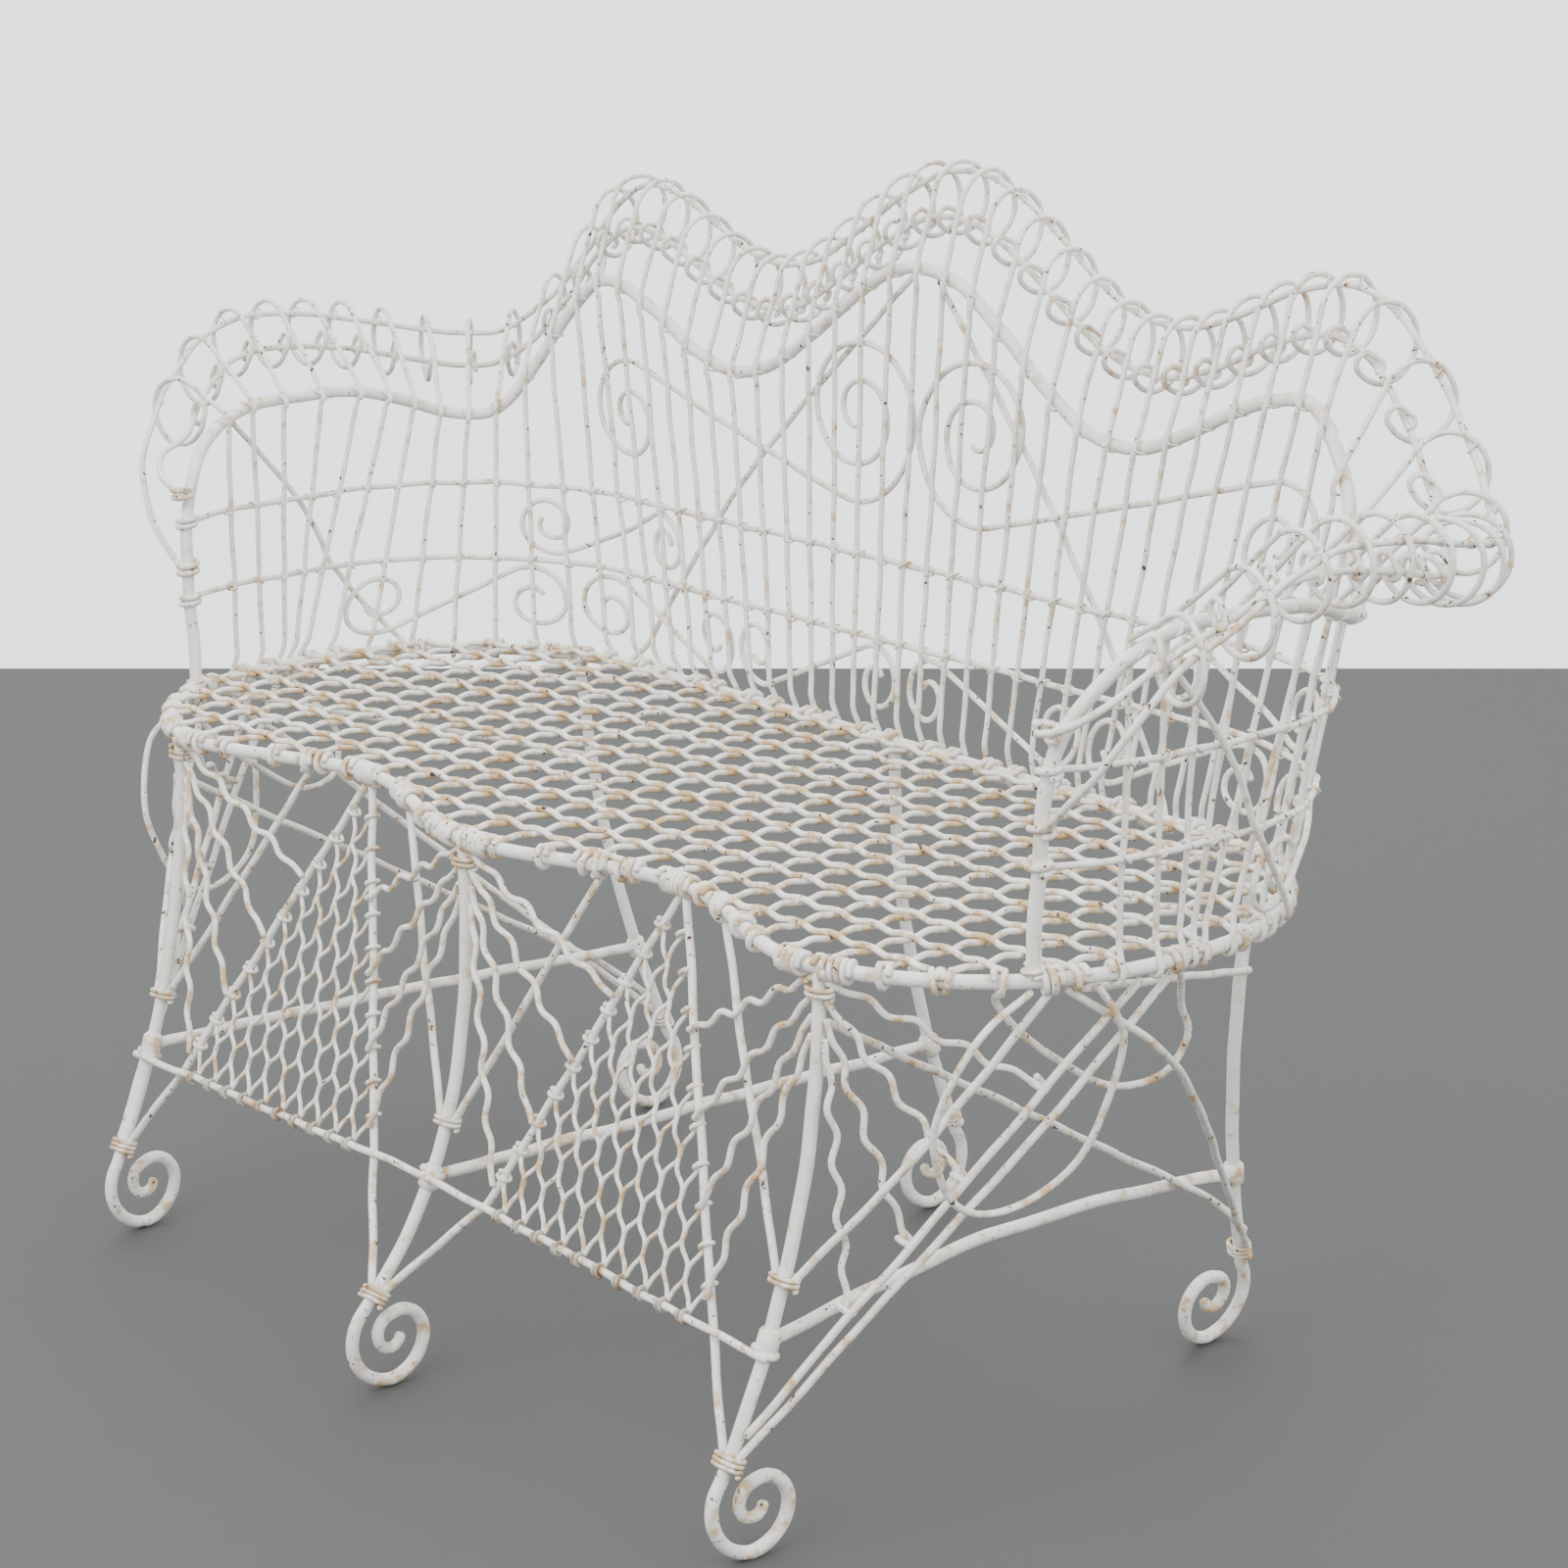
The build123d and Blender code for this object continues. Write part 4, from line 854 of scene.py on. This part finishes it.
def roll_line(station, drop):
    middle, away, _ = roll_frame(station)
    return middle + away * drop


def roll_half(drop, end_height):
    """Right half of a long wire of the roll, brought down in front of the arm to its post."""
    half = [roll_line(s, drop) for s in ROLL_STATIONS]
    post, _ = wall(POST_STATION, end_height, (FRAME_ROD + ROLL_WIRE) / 2)
    last = half[-1]
    for k in ROLL_FRONT_SHARES:
        bulge = ROLL_FRONT_BULGE * math.sin(math.pi * k)
        half.append(blend(last, post, k) + np.array((bulge, -bulge, 0.0)))
    return smooth(half, spacing=7.0)


def make_roll():
    for node, drop, end_height in (("roll_outer_wire", UNDER_RING, OUTER_WIRE_END_HEIGHT),
                                   ("roll_inner_wire", -ROLL_INNER_DROP, INNER_WIRE_END_HEIGHT)):
        half = roll_half(drop, end_height)
        wires = Wires()
        path = wandering(np.vstack([mirrored(half[1:])[::-1], half]), amount=1.0, seed=380)
        wires.add(path, ROLL_WIRE, sides=10, stain=0.3)
        for s in SPINDLE_STATIONS if node == "roll_outer_wire" else ():
            along = roll_line(s + ROLL_TANGENT_STEP, drop) - roll_line(s - ROLL_TANGENT_STEP, drop)
            _, away, across = roll_frame(s)
            middle = roll_line(s, drop + SPINDLE_WIRE / 2)
            wires.tie(middle, unit(along), across, away, reach=(ROLL_WIRE, 4.8), stain=0.4)
        for side in (-1.0, 1.0):
            post, outward = wall(side * POST_STATION, end_height)
            wires.wind(post, UP, outward, (FRAME_ROD + ROLL_WIRE) / 2, ROLL_WIRE,
                       turns=1.7, pitch=6.2, stain=0.7)
        wires.make(node, WIRE_PAINT)


# Scrolls
def spiral(middle, outer, inner, turns, start, hand):
    share = np.linspace(0.0, 1.0, max(8, round(turns * 36)))
    angle, radius = start + hand * 2 * math.pi * turns * share, blend(outer, inner, share)
    return np.stack([middle[0] + radius * np.cos(angle), middle[1] + radius * np.sin(angle)], axis=1)


def s_scroll(hand, first, second):
    """Two spirals, joined along their inner tangent."""
    dx, dz = second[0] - first[0], second[1] - first[1]
    leave = math.atan2(dz, dx) + hand * math.acos((first[2] + second[2]) / math.hypot(dx, dz))
    head = spiral(first[:2], *first[2:], leave, hand)
    tail = spiral(second[:2], *second[2:], leave + math.pi, hand)
    link = np.linspace(head[0], tail[0], 24)[1:-1]
    return np.vstack([head[::-1], link, tail])


def make_scrolls():
    for number, (node, right) in enumerate(SCROLLS.items()):
        wires = Wires()
        left = LEFT_CREST_SCROLL if node == "crest_scrolls" else right
        for k, (side, scroll) in enumerate(zip(SIDES, (left, right))):
            path = on_side(side, [on_spindles(s, z, SCROLL_LAYER) for s, z in s_scroll(*scroll)])
            path = wandering(resample(path, spacing=5.0), amount=0.8, seed=400 + 2 * number + k)
            wires.add(path, SCROLL_WIRE, stain=0.3)
        wires.make(node, WIRE_PAINT)


def stay_path(low_station, high_station):
    """A straight stay behind the scrolls, from the side of the rim to the underside of the crest."""
    top = crest_height(high_station) - FRAME_R - SCROLL_WIRE / 2
    path = []
    for k in np.linspace(0.0, 1.0, 60):
        out = eased(STAY_FOOT_LAYER, STAY_LAYER, k / STAY_FOOT_SHARE)
        path.append(on_spindles(blend(low_station, high_station, k), blend(SEAT_HEIGHT, top, k), out))
    return np.array(path)


def make_stays():
    for side, foot in BACK_STAY_FEET.items():
        stays = {
            "back_stay": stay_path(foot * SPINDLE_PITCH, SPINDLE_PITCH / 2),
            "arm_stay": stay_path(*(k * SPINDLE_PITCH for k in ARM_STAY_SPINDLES)),
        }
        for number, (name, path) in enumerate(stays.items()):
            wires = Wires()
            path = wandering(on_side(side, path), amount=0.8, seed=430 + number)
            wires.add(path, SCROLL_WIRE, stain=0.25)
            wires.make(f"{side}_{name}", WIRE_PAINT)


# Apron
RAIL_OFFSET = FORWARD * (LEG_R + BRACE_WIRE / 2)
APRON_HEIGHTS = (APRON_RAIL_HEIGHT, APRON_RAIL_HEIGHT + APRON_RAIL_RISE, APRON_RAIL_HEIGHT)
APRON_LINE = [at_height(leg, z) + RAIL_OFFSET for leg, z in zip(FRONT_LEGS, APRON_HEIGHTS)]


def apron_rail_at(x):
    k = abs(x) / APRON_LINE[2][0]
    return np.array((x, *(blend(APRON_LINE[1][n], APRON_LINE[2][n], k) for n in (1, 2))))


def apron_corner(x):
    return apron_rail_at(x) - FORWARD * ((BRACE_WIRE + APRON_EDGE_WIRE) / 2 + APRON_CORNER_GAP)


APRON_TOP = np.array((SCALLOP_X, SCALLOP_Y, RIM_UNDERSIDE - APRON_EDGE_WIRE / 2))
INNER_CORNER, OUTER_CORNER = apron_corner(APRON_FOOT_INNER), apron_corner(APRON_FOOT_OUTER)
INNER_EDGE = [APRON_TOP, INNER_CORNER, beside_leg(FRONT_LEGS[1], APRON_TIE_HEIGHT, 1, APRON_EDGE_WIRE)]
OUTER_EDGE = [APRON_TOP + RIGHT * APRON_EDGE_WIRE, OUTER_CORNER,
              beside_leg(FRONT_RIGHT, APRON_TIE_HEIGHT, -1, APRON_EDGE_WIRE)]
APRON_OUT = unit(np.cross(OUTER_CORNER - INNER_CORNER, APRON_TOP - INNER_CORNER))


def make_front_rail():
    end = apron_rail_at(APRON_LINE[2][0] + APRON_RAIL_OVERHANG)
    line = resample([mirrored(end), *APRON_LINE, end], spacing=8.0)
    wires = Wires()
    wires.add(wandering(line, amount=1.0, seed=450), BRACE_WIRE, sides=10, stain=0.4)
    for leg, z in zip(FRONT_LEGS, APRON_HEIGHTS):
        wires.wind(at_height(leg, z), leg_heading(leg, z), FORWARD, LEG_R + BRACE_WIRE / 2,
                   BRACE_WIRE, turns=1.0, pitch=5.0, stain=0.6)
    wires.make("front_lower_rail", WIRE_PAINT)


def make_apron_edges():
    edges = {side: Wires() for side in SIDES}
    for number, edge in enumerate((INNER_EDGE, OUTER_EDGE)):
        for side, path in sides_of(resample(edge, spacing=6.0)):
            path = wandering(path, amount=0.8, seed=460 + number)
            edges[side].add(path, APRON_EDGE_WIRE, sides=10, stain=0.3)
    for side, wires in edges.items():
        wires.make(f"{side}_apron_edges", WIRE_PAINT)


def make_apron_mesh(name, near, far, layer):
    """One set of crimped wires in both panels, each wound round the front rail and an edge."""
    meshes = {side: Wires() for side in SIDES}
    wave = np.linalg.norm(far - near) / APRON_DIVISIONS * MESH_WAVE
    for k in range(1, APRON_DIVISIONS):
        share = k / APRON_DIVISIONS
        hold, high = apron_rail_at(blend(near, far, share)[0]), blend(APRON_TOP, far, share)
        low = hold + np.array((0.0, (BRACE_WIRE + APRON_MESH_WIRE) / 2, MESH_RAIL_RISE))
        flat_side = np.cross(APRON_OUT, unit(high - low))
        for side, lean in zip(SIDES, (-1.0, 1.0)):
            crimp = MESH_FLAT_SHARE * flat_side + lean * APRON_OUT
            path = on_side(side, crimped(low, high, wave, MESH_CRIMP * layer, crimp, spacing=3.5))
            meshes[side].add(path, APRON_MESH_WIRE, sides=8, stain=0.45)
            meshes[side].end_on(on_side(side, hold), RIGHT, MESH_HOOK_WIRE, BRACE_WIRE, turns=1.4)
            meshes[side].end_on(path[-1], on_side(side, APRON_TOP - far), APRON_MESH_WIRE, APRON_EDGE_WIRE)
    for side, wires in meshes.items():
        wires.make(f"{side}_apron_{name}_mesh", SEAT_PAINT)


def fan_head(leg, side, k):
    """Where the head of a fan's wire lies against its leg, counted from the rim down."""
    return beside_leg(leg, RIM_UNDERSIDE - FAN_HEAD_DROP - FAN_SPACING * k, side, FAN_WIRE)


def fan_wire(head, foot, out):
    return crimped(head, foot, FAN_WAVE, FAN_WAVE_HEIGHT, np.cross(foot - head, out), spacing=4.0)


def fan(leg, side, top, corner):
    """Crimped wires from the head of a leg to an edge of the apron."""
    runs = []
    for k, share in enumerate(FAN_SHARES):
        foot = blend(top, corner, share) + APRON_OUT * (APRON_EDGE_WIRE + FAN_WIRE) / 2
        runs.append(fan_wire(fan_head(leg, side, k), foot, APRON_OUT))
    return runs


def make_fans():
    fans = {f"{place}_leg_fan": Wires() for place in ("left", "middle", "right")}
    for run in fan(FRONT_LEGS[1], 1, APRON_TOP, INNER_CORNER):
        for _, path in sides_of(run):
            fans["middle_leg_fan"].add(path, FAN_WIRE, stain=0.45)
    for run in fan(FRONT_RIGHT, -1, OUTER_EDGE[0], OUTER_CORNER):
        for side, path in sides_of(run):
            fans[f"{side}_leg_fan"].add(path, FAN_WIRE, stain=0.45)
    for node, wires in fans.items():
        wires.make(node, SEAT_PAINT)


# Side panels
def under_rim(station):
    """Place under the rim for the end of a stay, by station."""
    return wall(station, SEAT_HEIGHT)[0] - UP * (FRAME_R + BRACE_WIRE / 2)


def under_front(x):
    """Place under the scalloped front of the rim for the end of a brace."""
    if x <= SCALLOP_X:
        y = eased(FRONT_MIDDLE_Y, SCALLOP_Y, x / SCALLOP_X)
    else:
        y = eased(SCALLOP_Y, CORNER_END_Y, (x - SCALLOP_X) / (CORNER_END_X - SCALLOP_X))
    return np.array((x, y, RIM_UNDERSIDE - BRACE_WIRE / 2))


PANEL_FOOT = beside_leg(FRONT_RIGHT, APRON_TIE_HEIGHT, 1)
PANEL_HEEL, PANEL_TOE = under_rim(PANEL_HEEL_STATION), under_rim(PANEL_TOE_STATION)
PANEL_OUT = unit(np.cross(PANEL_HEEL - PANEL_FOOT, PANEL_TOE - PANEL_FOOT))
FAN_STAY = [beside_leg(FRONT_RIGHT, FAN_STAY_HEIGHT, 1), under_rim(FAN_STAY_STATION)]


def on_panel(y, z, out):
    x = PANEL_FOOT[0] - (PANEL_OUT[1] * (y - PANEL_FOOT[1]) + PANEL_OUT[2] * (z - PANEL_FOOT[2])) / PANEL_OUT[0]
    return np.array((x, y, z)) + PANEL_OUT * out


def make_braces():
    toe_foot = beside_leg(FRONT_RIGHT, BRACE_LEG_HEIGHT, 1)
    braces = [
        [under_front(BRACE_RIM_INNER), beside_leg(FRONT_LEGS[1], BRACE_LEG_HEIGHT, 1)],
        [under_front(BRACE_RIM_OUTER), beside_leg(FRONT_RIGHT, BRACE_LEG_HEIGHT, -1)],
        [PANEL_TOE, blend(PANEL_TOE, toe_foot, 0.5) + PANEL_OUT * TOE_BRACE_LAYER, toe_foot],
    ]
    wires = Wires()
    for number, brace in enumerate(braces):
        for _, path in sides_of(wandering(smooth(brace, spacing=6.0), amount=1.0, seed=500 + number)):
            wires.add(path, BRACE_WIRE, stain=0.35)
            middle, heading, inward = rim_near(path[0][0], path[0][1])
            wires.wind(middle, heading, -inward, FRAME_R + BRACE_WIRE / 2, BRACE_WIRE,
                       turns=1.8, pitch=6.0, stain=0.7)
    wires.make("front_braces", WIRE_PAINT)


def side_stays():
    on_stretcher = stretcher_line("right")[round(STRETCHER_STEPS * STRETCHER_TIE_SHARE)]
    return [
        [PANEL_FOOT, blend(PANEL_FOOT, PANEL_HEEL, HEEL_BEND_SHARE) + PANEL_OUT * BRACE_WIRE, PANEL_HEEL],
        FAN_STAY,
        [beside_leg(REAR_RIGHT, APRON_TIE_HEIGHT, 1), on_panel(*REAR_STAY_BEND),
         under_rim(REAR_STAY_STATION)],
        [beside_leg(REAR_RIGHT, SHORT_STAY_HEIGHT, 1), under_rim(SHORT_STAY_STATION)],
        [at_height(FRONT_RIGHT, LONG_STAY_HEIGHT) - FORWARD * (LEG_R + BRACE_WIRE / 2),
         on_stretcher + RIGHT * ((STRETCHER_ROD + BRACE_WIRE) / 2),
         beside_leg(REAR_RIGHT, FAN_STAY_HEIGHT, 1)],
    ]


def make_side_panels():
    pieces = {f"{side}_side_{name}": Wires() for side in SIDES for name in ("stays", "hoops", "fan")}
    for number, stay in enumerate(side_stays()):
        for side, path in sides_of(wandering(smooth(stay, spacing=6.0), amount=1.0, seed=520 + number)):
            pieces[f"{side}_side_stays"].add(path, BRACE_WIRE, stain=0.35)
    for number, (layer, ends, outline) in enumerate(HOOPS):
        start, end = (under_rim(station) for station in ends)
        hoop = [start] + [on_panel(y, z, layer) for y, z in outline] + [end]
        for side, path in sides_of(wandering(smooth(hoop, spacing=5.0), amount=0.8, seed=530 + number)):
            pieces[f"{side}_side_hoops"].add(path, HOOP_WIRE, stain=0.5)
    for k, share in enumerate(SIDE_FAN_SHARES):
        foot = blend(*FAN_STAY, share) + PANEL_OUT * SIDE_FAN_LAYER
        for side, path in sides_of(fan_wire(fan_head(FRONT_RIGHT, 1, k), foot, PANEL_OUT)):
            wires = pieces[f"{side}_side_fan"]
            wires.add(path, FAN_WIRE, stain=0.4)
            wires.end_on(path[-1], on_side(side, FAN_STAY[1] - FAN_STAY[0]), FAN_WIRE, BRACE_WIRE)
    for node, wires in pieces.items():
        wires.make(node, WIRE_PAINT)


def make_bindings():
    wires = Wires()
    for name, leg in LEGS.items():
        wide = LEG_R + (APRON_EDGE_WIRE if name.startswith("front") else BRACE_WIRE / 2) + BINDING_WIRE / 2
        axis = leg_heading(leg, ANKLE_HEIGHT + ANKLE_HEADING_RISE)
        middle = at_height(leg, ANKLE_HEIGHT + ANKLE_BINDING_RISE)
        wires.bind(middle, axis, wide, turns=3.2, pitch=1.1, stain=1.0)
    for leg in FRONT_LEGS:
        axis, middle = leg_heading(leg, BRACE_LEG_HEIGHT), at_height(leg, BRACE_LEG_HEIGHT)
        wires.bind(middle, axis, LEG_R + BRACE_WIRE + BINDING_WIRE / 2, turns=2.4, pitch=1.15, stain=0.8)
        top = at_height(leg, RIM_UNDERSIDE - FAN_BINDING_DROP)
        wires.bind(top, UP, LEG_R + FAN_WIRE + BINDING_WIRE / 2, turns=2.6, pitch=1.2, stain=0.8)
    wires.make("leg_bindings", SEAT_PAINT)


make_rim()
make_seat()
make_legs()
make_stretchers()
make_crest()
make_rails()
make_spindles()
make_roll()
make_scrolls()
make_stays()
make_front_rail()
make_apron_edges()
make_apron_mesh("rising", INNER_CORNER, OUTER_CORNER, 1.0)
make_apron_mesh("falling", OUTER_CORNER, INNER_CORNER, -1.0)
make_fans()
make_braces()
make_side_panels()
make_bindings()


# Stage: a plain floor, and a paler wall far behind its edge, so that the seat is seen from the back too
def make_plane(name, colour, glow, corners):
    material = bpy.data.materials.new(name)
    material.use_nodes = True
    inputs = material.node_tree.nodes["Principled BSDF"].inputs
    inputs["Base Color"].default_value = (*colour, 1.0)
    inputs["Roughness"].default_value = STAGE_ROUGHNESS
    inputs["Specular IOR Level"].default_value = STAGE_SPECULAR
    inputs["Emission Color"].default_value = (*colour, 1.0)
    inputs["Emission Strength"].default_value = glow
    mesh = bpy.data.meshes.new(name)
    mesh.from_pydata([tuple(c) for c in corners], [], [(0, 1, 2, 3)])
    mesh.materials.append(material)
    plane = placed(name, mesh)


def make_stage():
    azimuth = math.radians(CAMERA_AZIMUTH)
    view = Vector((-math.sin(azimuth), math.cos(azimuth), 0.0))
    side = Vector((view.y, -view.x, 0.0))
    dip = math.radians(CAMERA_ELEVATION) + math.atan((HORIZON_PIXEL - IMAGE_SIDE / 2) / FOCAL_PIXELS)
    place = Vector(CAMERA_PLACE)
    edge = Vector((place.x, place.y, 0.0)) + view * (place.z / math.tan(dip))
    across, deep = side * FLOOR_HALF_WIDTH, view * FLOOR_DEPTH
    floor = (edge - across, edge + across, edge + across - deep, edge - across - deep)
    make_plane("floor", FLOOR_COLOUR, 0.0, floor)
    foot, top = (view * WALL_DISTANCE + Vector((0.0, 0.0, z)) for z in (WALL_FOOT, WALL_TOP))
    wide = side * WALL_HALF_WIDTH
    make_plane("backdrop", WALL_COLOUR, WALL_GLOW, (foot - wide, foot + wide, top + wide, top - wide))


def make_lights():
    world = bpy.context.scene.world or bpy.data.worlds.new("world")
    bpy.context.scene.world = world
    world.use_nodes = True
    background = world.node_tree.nodes["Background"]
    background.inputs["Color"].default_value = (*SKY_COLOUR, 1.0)
    background.inputs["Strength"].default_value = SKY_STRENGTH
    for name, place, size, power in LIGHTS:
        light = bpy.data.lights.new(name, "AREA")
        light.size, light.energy = size, power
        lamp = placed(name, light)
        lamp.location = place
        lamp.rotation_euler = (Vector(LIGHT_AIM) - Vector(place)).to_track_quat("-Z", "Y").to_euler()


def make_camera():
    data = bpy.data.cameras.new("camera")
    data.sensor_width = SENSOR_WIDTH
    data.lens = SENSOR_WIDTH * FOCAL_PIXELS / IMAGE_SIDE
    camera = placed("camera", data)
    camera.location = CAMERA_PLACE
    camera.rotation_euler = (math.radians(90 - CAMERA_ELEVATION), 0.0, math.radians(CAMERA_AZIMUTH))
    bpy.context.scene.camera = camera


make_stage()
make_lights()
make_camera()
